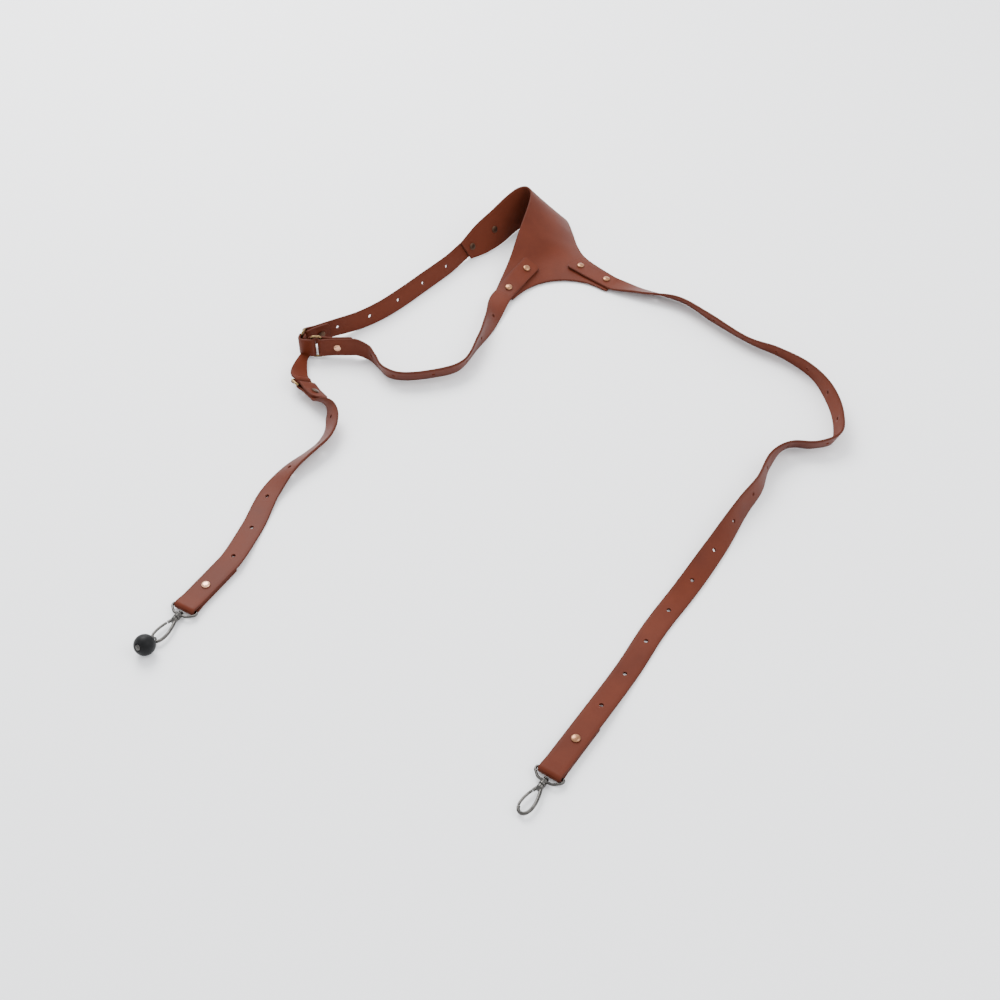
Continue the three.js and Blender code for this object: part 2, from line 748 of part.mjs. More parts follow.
function hookSolids() {
  const loop = plate(loopOutline(0), loopOutline(hookWire), hookWire, hookWire * 0.22);
  const gateLoop = plate(loopOutline(0), loopOutline(gateWidth), hookWire * 0.9, hookWire * 0.2);
  const headEnd = eyeDepth - ringWire / 2 - swivelClearance;
  const head = rod(headEnd - pinHeadHeight, headEnd, pinSize * 0.8);
  const pin = rod(headEnd - pinHeadHeight / 2, hookStart + 2, pinSize / 2);
  const collar = rod(hookStart, hookStart + hookLength * 0.16, barrelSize * 0.46);
  const cut = boxSolid(gateStart - clearance, gateEnd + clearance, -hookWidth, -gateInset);
  const body = loop.subtract(cut).add(collar).add(pin).add(head);
  const gate = gateLoop.intersect(boxSolid(gateStart + clearance, gateEnd - clearance, -hookWidth, -gateInset));
  return { body, gate };
}

function placeHook(side, spec) {
  const holder = new THREE.Group();
  const forward = spec.out.clone().negate();
  const across = UP.clone().cross(forward);
  holder.applyMatrix4(new THREE.Matrix4().makeBasis(forward, across, UP));
  holder.position.copy(spec.centre);
  const { body, gate } = hookSolids();
  const pieces = [
    [`${side}_hook_eye`, toGeometry(eyeSolid())],
    [`${side}_hook_body`, toGeometry(body)],
    [`${side}_hook_gate`, toGeometry(gate)],
  ];
  for (const [name, geometry] of pieces) {
    const mesh = new THREE.Mesh(geometry, finishes.hook.clone());
    mesh.name = name;
    holder.add(mesh);
  }
  model.add(holder);
  return holder;
}

const leftHook = placeHook('left', hookBars.left);
placeHook('right', hookBars.right);

// Camera screw: a steel eye on the left hook's nose, its shank through a rubber ball.
function cameraScrew(holder) {
  const inner = hookWire * 0.5 * Math.SQRT2 + clearance;
  const outer = inner + screwEyeWire;
  const nose = hookStart + hookLength - hookWire / 2;
  const flat = ballSize * ballFlat;
  const ballCentre = outer + clearance + flat;
  const tilt = Math.acos((ballSize / 2 - hookPlane + clearance) / ballCentre);
  const profile = [];
  const count = 12;
  const start = -Math.asin(flat / (ballSize / 2));
  const bore = shankSize / 2 + clearance;
  profile.push(new THREE.Vector2(bore, -flat));
  for (let i = 0; i <= count; i += 1) {
    const angle = start + (Math.PI / 2 - lipAngle - start) * i / count;
    profile.push(new THREE.Vector2(Math.cos(angle) * ballSize / 2, Math.sin(angle) * ballSize / 2));
  }
  const lip = profile[profile.length - 1];
  const pocket = lip.y - pocketDepth;
  profile.push(new THREE.Vector2(lip.x - pocketRim, pocket));
  profile.push(new THREE.Vector2(bore, pocket));
  profile.push(profile[0].clone());
  const ball = new THREE.LatheGeometry(profile, 20);
  ball.translate(0, ballCentre, 0);
  const eyeShape = new THREE.Shape();
  eyeShape.absarc(0, 0, outer, 0, Math.PI * 2);
  const eyeHole = new THREE.Path();
  eyeHole.absarc(0, 0, inner, 0, Math.PI * 2);
  eyeShape.holes.push(eyeHole);
  const eyePlate = new THREE.ExtrudeGeometry(eyeShape, {
    depth: screwEyeWire, bevelEnabled: false, curveSegments: 16,
  });
  eyePlate.translate(0, 0, -screwEyeWire / 2);
  const shankEnd = ballCentre + pocket + clearance;
  const tip = lip.y + ballCentre + tipStandout;
  const tipRadius = Math.min(screwSize / 2, lip.x - pocketRim - clearance);
  const shank = cylinderBetween(vec(0, outer - screwEyeWire / 2), vec(0, shankEnd + 0.4), shankSize / 2);
  const tipRod = cylinderBetween(vec(0, shankEnd), vec(0, tip), tipRadius, 16);
  const screw = toSolid(eyePlate).add(toSolid(shank)).add(toSolid(tipRod));
  const lean = new THREE.Group();
  const away = vec(1, 0, 0).multiplyScalar(Math.sin(tilt)).addScaledVector(UP, Math.cos(tilt));
  const sideways = vec(0, 1, 0);
  lean.applyMatrix4(new THREE.Matrix4().makeBasis(away.clone().cross(sideways), away, sideways));
  lean.position.set(nose, 0, 0);
  const pieces = [['camera_screw_ball', ball, 'rubber'], ['camera_screw', toGeometry(screw), 'hook']];
  for (const [name, geometry, finish] of pieces) {
    const mesh = new THREE.Mesh(geometry, finishes[finish].clone());
    mesh.name = name;
    lean.add(mesh);
  }
  holder.add(lean);
}

cameraScrew(leftHook);

// Routes of the free runs: along and aside are shares of the straight span between the two
// ends, lean is the leather's tilt in degrees (0 flat, 90 on edge), lift a share of its width.
const upperRoute = [
  { along: 0.145, aside: 0.022, lean: 107 },
  { along: 0.37, aside: 0.040, lean: 108 },
  { along: 0.53, aside: 0.052, lean: 108 },
  { along: 0.69, aside: 0.054, lean: 104 },
  { along: 0.825, aside: 0.035, lean: 98 },
];
const middleRoute = [
  { along: 0.235, aside: 0.202, lean: -66 },
  { along: 0.395, aside: 0.320, lean: -98 },
  { along: 0.59, aside: 0.437, lean: -116 },
  { along: 0.755, aside: 0.406, lean: -120 },
  { along: 0.905, aside: 0.328, lean: -120 },
  { along: 0.955, aside: 0.248, lean: -112 },
  { along: 0.95, aside: 0.148, lean: -102 },
  { along: 0.95, aside: 0.056, lean: -94 },
];
const leftRoute = [
  { along: 0.066, aside: 0.074, lean: 62 },
  { along: 0.15, aside: 0.109, lean: 50 },
  { along: 0.24, aside: 0.109, lean: 45 },
  { along: 0.32, aside: 0.081, lean: 42 },
  { along: 0.435, aside: 0.030, lean: 30 },
  { along: 0.59, aside: -0.002, lean: 10 },
  { along: 0.775, aside: 0.002, lean: 0 },
];
const rightRoute = [
  { along: 0.019, aside: 0.051, lean: -25 },
  { along: 0.047, aside: 0.125, lean: -48 },
  { along: 0.098, aside: 0.179, lean: -58 },
  { along: 0.16, aside: 0.248, lean: -53 },
  { along: 0.19, aside: 0.299, lean: -62 },
  { along: 0.237, aside: 0.349, lean: -76 },
  { along: 0.298, aside: 0.377, lean: -98 },
  { along: 0.363, aside: 0.386, lean: -106 },
  { along: 0.409, aside: 0.377, lean: -112 },
  { along: 0.427, aside: 0.342, lean: -120 },
  { along: 0.43, aside: 0.302, lean: -120 },
  { along: 0.47, aside: 0.268, lean: -90 },
  { along: 0.53, aside: 0.247, lean: -76 },
  { along: 0.577, aside: 0.221, lean: -66 },
  { along: 0.667, aside: 0.176, lean: -38 },
  { along: 0.75, aside: 0.130, lean: -10 },
  { along: 0.828, aside: 0.085, lean: 0 },
  { along: 0.906, aside: 0.048, lean: 0 },
];

const panelRivets = [armInset, armInset + rivetPitch];

function lapRivetSpots(stations) {
  const total = runLength(stations);
  return panelRivets.flatMap((inset) => spotsAlong(stations, total - inset, total, total));
}

function strap(name, stations, { lap, loops, holes }) {
  let solid = ribbonSolid(stations);
  solid = punch(solid, [...holes, ...lap], holeSize, leather);
  solid = punch(solid, loops, holeSize, leather * 2.5);
  addPiece(name, toGeometry(solid), 'leather');
}

// Where a stud goes through both layers of a folded end.
function studSpot({ centre, out, axis }, inset) {
  const face = axis.clone().cross(out).normalize();
  return { centre: centre.clone().addScaledVector(out, inset), face };
}

const upperEnd = foldedEnd(upper.strapBar, tails.upper);
const middleEnd = foldedEnd(middle.strapBar, tails.middle);
const lowerEnd = reversed(foldedEnd(lower.strapBar, tails.lower));
const leftEnd = foldedEnd(hookBars.left, tails.left);
const rightEnd = foldedEnd(hookBars.right, tails.right);
const runs = {
  upper: [...upperLap, ...freeRun(upperLap, upperEnd, upperRoute), ...upperEnd],
  middle: [...middleLap, ...freeRun(middleLap, middleEnd, middleRoute), ...middleEnd],
  left: [...lowerEnd, ...freeRun(lowerEnd, leftEnd, leftRoute), ...leftEnd],
  right: [...rightLap, ...freeRun(rightLap, rightEnd, rightRoute), ...rightEnd],
};
const afterLap = lapTotal + strapMargin;
const afterLowerFold = 2 * tails.lower + Math.PI * foldRadius + strapMargin;

// Adjustment holes, counted back from the stud at a strap's folded end.
function holeSpots(stations, end, from) {
  const barAt = runLength(stations) - tails[end] - Math.PI * foldRadius;
  const last = barAt - studInsets[end] - firstHoles[end] * holePitch;
  const start = last - Math.floor((last - from) / holePitch) * holePitch;
  return spotsAlong(stations, start, last + clearance, holePitch);
}

const lapSpots = {
  upper: lapRivetSpots(upperLap),
  middle: lapRivetSpots(middleLap),
  right: lapRivetSpots(rightLap),
};
const studs = {
  upper: studSpot(upper.strapBar, studInsets.upper),
  middle: studSpot(middle.strapBar, studInsets.middle),
  lower: studSpot(lower.strapBar, studInsets.lower),
  left: studSpot(hookBars.left, studInsets.left),
  right: studSpot(hookBars.right, studInsets.right),
};
strap('upper_strap', runs.upper, {
  lap: lapSpots.upper, loops: [studs.upper], holes: holeSpots(runs.upper, 'upper', afterLap),
});
strap('middle_strap', runs.middle, {
  lap: lapSpots.middle, loops: [studs.middle], holes: holeSpots(runs.middle, 'middle', afterLap),
});
strap('left_strap', runs.left, {
  lap: [], loops: [studs.lower, studs.left], holes: holeSpots(runs.left, 'left', afterLowerFold),
});
strap('right_strap', runs.right, {
  lap: lapSpots.right, loops: [studs.right], holes: holeSpots(runs.right, 'right', afterLap),
});

// Yoke with its rivet holes.
const allLapSpots = [...lapSpots.upper, ...lapSpots.middle, ...lapSpots.right];
const yokeSheet = sheet(surfaceRows(yokePoint, yokeColumns, yokeSteps), leather);
const yoke = punch(yokeSheet, allLapSpots, holeSize, leather * 2.5);
addPiece('yoke', toGeometry(yoke), 'leather');

for (const [arm, spots] of Object.entries(lapSpots)) {
  spots.forEach(({ centre, face, raise }, i) => {
    const front = centre.clone().addScaledVector(face, leather / 2 + lapSeat);
    const back = centre.clone().addScaledVector(face, -raise - leather / 2);
    fastener(`${arm}_arm_rivet_${i + 1}`, front, back, face);
  });
}
const studNames = {
  upper: 'upper_ring_stud',
  middle: 'middle_ring_stud',
  lower: 'lower_ring_stud',
  left: 'left_hook_stud',
  right: 'right_hook_stud',
};
for (const [end, name] of Object.entries(studNames)) {
  const { centre, face } = studs[end];
  const depth = leather + clearance / 2;
  const front = centre.clone().addScaledVector(face, depth);
  const back = centre.clone().addScaledVector(face, -depth);
  fastener(name, front, back, face);
}

// Stand the harness on the table, centred on the origin.
model.updateMatrixWorld(true);
const bounds = new THREE.Box3().setFromObject(model, true);
const middleOfAll = bounds.getCenter(vec(0, 0));
model.position.set(-middleOfAll.x, -middleOfAll.y, -bounds.min.z);

export default model;
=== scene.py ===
"""A brown leather three-point camera harness lying loose on a pale table."""

import math

import bpy
import numpy as np
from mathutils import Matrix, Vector


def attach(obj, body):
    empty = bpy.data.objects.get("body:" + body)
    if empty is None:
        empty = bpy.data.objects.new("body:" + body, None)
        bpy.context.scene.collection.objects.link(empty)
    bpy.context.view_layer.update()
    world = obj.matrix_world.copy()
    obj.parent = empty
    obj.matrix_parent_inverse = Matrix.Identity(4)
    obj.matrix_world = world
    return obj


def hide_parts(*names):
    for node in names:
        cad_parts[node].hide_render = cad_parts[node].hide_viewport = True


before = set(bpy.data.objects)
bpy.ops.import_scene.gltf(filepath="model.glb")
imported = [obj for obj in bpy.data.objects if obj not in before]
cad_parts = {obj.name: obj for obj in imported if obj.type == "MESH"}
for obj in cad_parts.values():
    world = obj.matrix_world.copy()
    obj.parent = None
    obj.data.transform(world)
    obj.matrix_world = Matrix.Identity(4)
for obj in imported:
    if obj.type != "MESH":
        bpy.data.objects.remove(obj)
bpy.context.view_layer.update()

# Sizes in millimetres, in the harness's layout frame; LAYOUT is where its origin stands.
MM = 0.001
LAYOUT = np.array([-15.82, -69.23, 0.244])
STRAP_WIDTH = 21.5
LEATHER = 2.4
CLEARANCE = 0.3
HOLE_SIZE = 4.0
HOLE_PITCH = 41.0
STEP = 2.0
CORNER = 3.5
RIM_ROUND = 0.8
UPPER_SPAN = 233.0
UPPER_BEARING = -134.8
LEFT_REACH = 305.0
LEFT_BEARING = -104.4
RIGHT_REACH = 654.0
RIGHT_BEARING = -97.7
HOOK_BEARINGS = {"left": 60, "right": 56}
TAILS = {"upper": 26.0, "middle": 34.0, "lower": 26.0, "left": 60.0, "right": 60.0}
STUD_INSETS = {"upper": 16.0, "middle": 17.0, "lower": 15.0, "left": 28.0, "right": 37.0}
# Hole pitches from each stud to the strap's first free hole.
FIRST_HOLES = {"upper": 0.5, "middle": 1.0, "left": 1.0, "right": 1.0}
EASE = 12.0

YOKE_SPREAD = 142.0
YOKE_REACH = 140.0
YOKE_HEIGHT = 50.0
ARM_INSET = 10.0
RIVET_PITCH = 37.0
LAP_SEAT = 0.15
LAP_GAP = 0.5
STRAP_MARGIN = 12.0

RING_WIRE = 2.4
RING_WINDOW = 7.4
SIDE_CLEARANCE = 0.8
EYE_DEPTH = 9.0
EYE_FRONT = 0.29
EYE_CORNER = 2.0
BARREL_SIZE = 6.4
BARREL_LENGTH = 6.0
PIN_SIZE = 3.0
PIN_HEAD = 1.2
HOOK_LENGTH = 31.0
HOOK_WIDTH = 13.0
HOOK_WIRE = 3.0
GATE_WIDTH = 2.4
GATE_FROM = 0.24
GATE_TO = 0.8
GATE_INSET = 0.6
SWIVEL_CLEARANCE = 0.35
HEAD_SIZE = 8.0
HEAD_HEIGHT = 1.8
HEAD_RIM = 0.3
CAP_HEIGHT = 0.8
SHANK_SIZE = 3.2
BALL_SIZE = 19.0
BALL_FLAT = 0.37
LIP_ANGLE = 0.36
POCKET_DEPTH = 2.4
POCKET_RIM = 0.4
TIP_STANDOUT = 0.6
SCREW_SIZE = 6.0
SCREW_EYE_WIRE = 1.6
HOOK_PLANE = 4.2

FOLD_RADIUS = RING_WIRE / 2 + CLEARANCE + LEATHER / 2
BAR_SPACING = RING_WINDOW + RING_WIRE
RING_LENGTH = STRAP_WIDTH + 2 * SIDE_CLEARANCE
LAP_TOTAL = STRAP_MARGIN + RIVET_PITCH + ARM_INSET
THROUGH_LAP = LEATHER * 2.5
UP = np.array([0.0, 0.0, 1.0])

# Where the photograph was taken from: as far before the layout's origin as above it.
CAMERA_REACH = 907.0
CAMERA_ELEVATION = 45.0
# The focal length as a share of the picture's width.
FOCAL_SHARE = 1.347


def make_camera():
    data = bpy.data.cameras.new("camera")
    data.sensor_width = 36.0
    data.lens = data.sensor_width * FOCAL_SHARE
    camera = bpy.data.objects.new("camera", data)
    bpy.context.collection.objects.link(camera)
    place = np.array([0.0, -CAMERA_REACH, CAMERA_REACH]) + LAYOUT
    camera.location = place * MM
    camera.rotation_euler = (math.radians(90 - CAMERA_ELEVATION), 0, 0)
    bpy.context.scene.camera = camera


make_camera()


# Vectors and curves.
def vec(x, y, z=0.0):
    return np.array([x, y, z], float)


def unit(v):
    return v / np.linalg.norm(v)


def mix(a, b, share):
    return a + (b - a) * share


def smooth(share):
    s = min(1.0, max(0.0, share))
    return s * s * (3 - 2 * s)


def heading(bearing):
    angle = math.radians(bearing)
    return vec(math.cos(angle), math.sin(angle))


class Spline:
    """A Catmull-Rom curve through points, centripetal unless it is given a tension."""

    def __init__(self, points, tension=None):
        self.points = [np.array(p, float) for p in points]
        self.tension = tension

    def at(self, t):
        points = self.points
        last = len(points) - 1
        place = min(1.0, max(0.0, t)) * last
        k = min(int(place), last - 1)
        w = place - k
        b, c = points[k], points[k + 1]
        a = points[k - 1] if k > 0 else 2 * points[0] - points[1]
        d = points[k + 2] if k + 2 <= last else 2 * points[last] - points[last - 1]
        if self.tension is None:
            pairs = ((a, b), (b, c), (c, d))
            ab, bc, cd = (max(1e-4, np.linalg.norm(q - p)) ** 0.5 for p, q in pairs)
            out = ((b - a) / ab - (c - a) / (ab + bc) + (c - b) / bc) * bc
            into = ((c - b) / bc - (d - b) / (bc + cd) + (d - c) / cd) * bc
        else:
            out, into = self.tension * (c - a), self.tension * (d - b)
        square = 3 * (c - b) - 2 * out - into
        cube = 2 * (b - c) + out + into
        return b + out * w + square * w * w + cube * w ** 3

    def along(self, t):
        d = 1e-4
        return unit(self.at(min(1.0, t + d)) - self.at(max(0.0, t - d)))


def bezier(a, b, c, d, t):
    s = 1 - t
    return a * s ** 3 + 3 * b * s * s * t + 3 * c * s * t * t + d * t ** 3


# A station is one cross line of a strap: its centre, travel, the line across it and its face.
class Station:
    def __init__(self, centre, along, across, face=None, lift=0.0):
        self.centre = centre
        self.along = along
        self.across = across
        self.face = unit(np.cross(along, across)) if face is None else face
        self.lift = lift


def resting_height(lean, lift):
    angle = math.radians(lean)
    return abs(math.sin(angle)) * STRAP_WIDTH / 2 + abs(math.cos(angle)) * LEATHER / 2 + lift


def leaned_station(centre, travel, lean):
    along = unit(travel)
    left = unit(np.cross(UP, along))
    across = left * math.cos(math.radians(lean)) + UP * math.sin(math.radians(lean))
    return Station(centre, along, across)


# The rows of the drape, as shares of each run's straight span; lean is the leather's tilt.
UPPER_ROUTE = [
    dict(along=0.145, aside=0.022, lean=107), dict(along=0.37, aside=0.040, lean=108),
    dict(along=0.53, aside=0.052, lean=108), dict(along=0.69, aside=0.054, lean=104),
    dict(along=0.825, aside=0.035, lean=98),
]
MIDDLE_ROUTE = [
    dict(along=0.235, aside=0.202, lean=-66), dict(along=0.395, aside=0.320, lean=-98),
    dict(along=0.59, aside=0.437, lean=-116), dict(along=0.755, aside=0.406, lean=-120),
    dict(along=0.905, aside=0.328, lean=-120), dict(along=0.955, aside=0.248, lean=-112),
    dict(along=0.95, aside=0.148, lean=-102), dict(along=0.95, aside=0.056, lean=-94),
]
LEFT_ROUTE = [
    dict(along=0.066, aside=0.074, lean=62), dict(along=0.15, aside=0.109, lean=50),
    dict(along=0.24, aside=0.109, lean=45), dict(along=0.32, aside=0.081, lean=42),
    dict(along=0.435, aside=0.030, lean=30), dict(along=0.59, aside=-0.002, lean=10),
    dict(along=0.775, aside=0.002, lean=0),
]
RIGHT_ROUTE = [
    dict(along=0.019, aside=0.051, lean=-25), dict(along=0.047, aside=0.125, lean=-48),
    dict(along=0.098, aside=0.179, lean=-58), dict(along=0.16, aside=0.248, lean=-53),
    dict(along=0.19, aside=0.299, lean=-62), dict(along=0.237, aside=0.349, lean=-76),
    dict(along=0.298, aside=0.377, lean=-98), dict(along=0.363, aside=0.386, lean=-106),
    dict(along=0.409, aside=0.377, lean=-112), dict(along=0.427, aside=0.342, lean=-120),
    dict(along=0.43, aside=0.302, lean=-120), dict(along=0.47, aside=0.268, lean=-90),
    dict(along=0.53, aside=0.247, lean=-76), dict(along=0.577, aside=0.221, lean=-66),
    dict(along=0.667, aside=0.176, lean=-38), dict(along=0.75, aside=0.130, lean=-10),
    dict(along=0.828, aside=0.085, lean=0), dict(along=0.906, aside=0.048, lean=0),
]


def free_run(before, after, rows):
    """The stations between two fixed ends, through the rows of a route."""
    start, end = before[-1], after[0]
    span = (end.centre - start.centre) * vec(1, 1)
    side = np.cross(UP, span)

    def end_row(s, shift=0.0):
        left = unit(np.cross(UP, s.along) * vec(1, 1))
        lean = math.degrees(math.atan2(s.across[2], s.across @ left))
        return s.centre + s.along * shift, lean, s.centre[2] - resting_height(lean, 0)

    placed = [(start.centre + span * r["along"] + side * r["aside"], r["lean"], 0.0) for r in rows]
    ease = 16.0
    points = [end_row(start, -ease), end_row(start), *placed, end_row(end), end_row(end, ease)]
    route = Spline([p * vec(1, 1) for p, _, _ in points])
    attitude = Spline([vec(lean, lift) for _, lean, lift in points], 0.35)
    gaps = len(points) - 1
    stations = []
    for k in range(1, gaps - 1):
        steps = max(3, round(np.linalg.norm(points[k + 1][0] - points[k][0]) / STEP))
        for i in range(1 if k == 1 else 0, steps):
            t = (k + i / steps) / gaps
            lean, lift, _ = attitude.at(t)
            centre = route.at(t)
            centre[2] = resting_height(lean, lift)
            stations.append(leaned_station(centre, route.along(t), lean))
    return stations


class Bar:
    """A strap's bar: its centre, its line, and the way the strap leaves it."""

    def __init__(self, centre, axis, out):
        self.centre, self.axis, self.out = centre, axis, out
        self.grain = unit(np.cross(axis, out))


def bar_for(centre, bearing, lean):
    out = heading(bearing)
    left = np.cross(UP, -out)
    return Bar(centre, left * math.cos(math.radians(lean)) + UP * math.sin(math.radians(lean)), out)


def bar_along(centre, axis, bearing):
    hint = heading(bearing)
    return Bar(centre, axis, unit(hint - axis * (hint @ axis)))


def folded_end(bar, tail, run=None):
    """A strap's end turned round a bar, its tail under the run."""
    run = tail + 2 if run is None else run
    layer = (LEATHER + CLEARANCE) / 2

    def offset(s):
        return FOLD_RADIUS + (layer - FOLD_RADIUS) * smooth(s / EASE)

    distances = list(np.linspace(run, 0, max(3, round(run / (STEP / 2)))))[:-1]
    stations = [
        Station(bar.centre + bar.out * s + bar.grain * offset(s), -bar.out, bar.axis, bar.grain)
        for s in distances
    ]
    turns = 18
    for i in range(turns + 1):
        angle = math.pi * i / turns
        face = bar.grain * math.cos(angle) - bar.out * math.sin(angle)
        stations.append(Station(bar.centre + face * FOLD_RADIUS, -bar.out, bar.axis, face))
    for s in [*(d for d in reversed(distances) if d < tail - 0.4), tail]:
        spot = bar.centre + bar.out * s - bar.grain * offset(s)
        stations.append(Station(spot, bar.out, bar.axis, -bar.grain))
    return stations


def reversed_run(stations):
    return [Station(s.centre, -s.along, -s.across, s.face, s.lift) for s in reversed(stations)]


# The yoke's rows run from its high edge to its low edge, as shares of spread, reach and height.
YOKE_ORIGIN = vec(40, 330)
YOKE_ROWS = [
    dict(left=(-0.60, 0.44, 0.48), right=(-0.52, 0.46, 0.025)),
    dict(left=(-0.48, 0.62, 0.64), right=(-0.395, 0.54, 0.025)),
    dict(left=(-0.35, 0.75, 0.80), right=(-0.26, 0.69, 0.025)),
    dict(left=(-0.23, 0.88, 0.94), right=(-0.15, 0.86, 0.025)),
    dict(left=(-0.14, 0.97, 1.00), right=(-0.02, 1.01, 0.025)),
    dict(left=(-0.07, 0.99, 1.01), right=(0.14, 1.10, 0.03)),
    dict(left=(-0.03, 0.92, 0.99), right=(0.27, 1.02, 0.04)),
    dict(left=(-0.05, 0.78, 0.90), right=(0.32, 0.83, 0.03)),
    dict(left=(-0.13, 0.52, 0.66), right=(0.36, 0.61, 0.03)),
    dict(left=(-0.21, 0.28, 0.34), right=(0.44, 0.42, 0.04)),
    dict(left=(-0.32, -0.03, 0.09), right=(0.676, 0.14, 0.05)),
]
YOKE_HEM = [
    (-0.32, -0.03, 0.09), (-0.18, -0.12, 0.05), (-0.08, 0.01, 0.045), (0.06, 0.11, 0.045),
    (0.22, 0.145, 0.045), (0.40, 0.11, 0.045), (0.56, 0.0, 0.045), (0.676, 0.14, 0.05),
]
MIDDLE_ARM_BEARING = 58
RIGHT_ARM_BEARING = 140
ARM_SHARE = 0.2
HEM_START = 0.78


def yoke_place(share):
    return np.array(share) * vec(YOKE_SPREAD, YOKE_REACH, YOKE_HEIGHT) + YOKE_ORIGIN


YOKE_LEFT = Spline([yoke_place(r["left"]) for r in YOKE_ROWS], 0.5)
YOKE_RIGHT = Spline([yoke_place(r["right"]) for r in YOKE_ROWS], 0.5)
HEM_POINTS = [yoke_place(p) for p in YOKE_HEM]
HEM_HOLLOW = Spline(HEM_POINTS[1:7])


def hem_at(u):
    if u <= ARM_SHARE:
        return mix(HEM_POINTS[0], HEM_POINTS[1], u / ARM_SHARE)
    if u >= 1 - ARM_SHARE:
        return mix(HEM_POINTS[6], HEM_POINTS[7], (u - 1 + ARM_SHARE) / ARM_SHARE)
    return HEM_HOLLOW.at((u - ARM_SHARE) / (1 - 2 * ARM_SHARE))


def yoke_point(u, v):
    straight = mix(YOKE_LEFT.at(v), YOKE_RIGHT.at(v), u)
    pull = max(0.0, (v - HEM_START) / (1 - HEM_START))
    return straight + (hem_at(u) - mix(HEM_POINTS[0], HEM_POINTS[7], u)) * pull * pull


def surface_face(surface, u, v):
    d = 0.004
    across = surface(min(1, u + d), v) - surface(max(0, u - d), v)
    onward = surface(u, min(1, v + d)) - surface(u, max(0, v - d))
    return unit(np.cross(onward, across))


def panel_at(x, y):
    """The point of the yoke's sloping panel under a plan position."""
    u, v, d = 0.5, 0.85, 0.002
    for _ in range(30):
        p = yoke_point(u, v)
        pu = (yoke_point(u + d, v) - p) / d
        pv = (yoke_point(u, v - d) - p) / -d
        det = pu[0] * pv[1] - pu[1] * pv[0]
        ex, ey = x - p[0], y - p[1]
        u = min(1.0, max(0.0, u + 0.7 * (ex * pv[1] - ey * pv[0]) / det))
        v = min(1.0, max(0.6, v + 0.7 * (pu[0] * ey - pu[1] * ex) / det))
    return yoke_point(u, v)


def panel_lap(tip, bearing):
    inward = heading(bearing)
    left = np.cross(UP, -inward)
    stations = []
    for s in np.linspace(LAP_TOTAL, 0, 13):
        plan = tip + inward * s
        middle = panel_at(plan[0], plan[1])
        near = panel_at(*(plan + inward)[:2])
        along = unit(panel_at(*(plan - inward)[:2]) - near)
        half = STRAP_WIDTH / 2
        a, b = (panel_at(*(plan + left * half * side)[:2]) for side in (1, -1))
        across = unit(a - b)
        face = unit(np.cross(along, across))
        chord = mix(a, b, 0.5)
        spots = [panel_at(*(plan + left * half * share)[:2]) for share in (-1, -0.5, 0, 0.5, 1)]
        lay = (middle - chord) @ face
        lift = LEATHER + LAP_GAP + max((p - chord) @ face for p in spots) - lay
        stations.append(Station(middle + face * lift, along, across, face, lift))
    return stations


def arm_lap():
    spots, travelled, v, last = [], 0.0, 0.0, yoke_point(0.5, 0)
    while travelled < LAP_TOTAL:
        spots.append(v)
        v += 0.006
        now = yoke_point(0.5, v)
        travelled += np.linalg.norm(now - last)
        last = now
    stations = []
    for at in reversed(spots[::3]):
        face = surface_face(yoke_point, 0.5, at)
        across = unit(yoke_point(0.3, at) - yoke_point(0.7, at))
        lift = LEATHER + LAP_GAP
        centre = yoke_point(0.5, at) + face * lift
        stations.append(Station(centre, unit(np.cross(across, face)), across, face, lift))
    return stations


def run_length(stations):
    return sum(np.linalg.norm(b.centre - a.centre) for a, b in zip(stations, stations[1:]))


def distances_along(points):
    """How far along its line each point is."""
    steps = [np.linalg.norm(b - a) for a, b in zip(points, points[1:])]
    return np.concatenate([[0], np.cumsum(steps)])


def spots_along(stations, start, stop, pitch):
    """Places at equal pitch along a run: the centre, face and lift of each."""
    spots, travelled, at = [], 0.0, start
    for a, b in zip(stations, stations[1:]):
        length = np.linalg.norm(b.centre - a.centre)
        while travelled + length >= at and at <= stop:
            share = (at - travelled) / length
            spots.append((mix(a.centre, b.centre, share), unit(mix(a.face, b.face, share)), a.lift))
            at += pitch
        travelled += length
    return spots


# Nodes as expressions: a socket wrapper, and one method for every other node.
class Value:
    def __init__(self, shader, socket):
        self.shader = shader
        self.socket = socket

    def math(self, operation, other, flipped=False):
        a, b = (other, self) if flipped else (self, other)
        return self.shader.node("ShaderNodeMath", {"operation": operation}, {0: a, 1: b})

    def __add__(self, other):
        return self.math("ADD", other)

    def __radd__(self, other):
        return self.math("ADD", other, True)

    def __sub__(self, other):
        return self.math("SUBTRACT", other)

    def __rsub__(self, other):
        return self.math("SUBTRACT", other, True)

    def __mul__(self, other):
        return self.math("MULTIPLY", other)

    def __rmul__(self, other):
        return self.math("MULTIPLY", other, True)


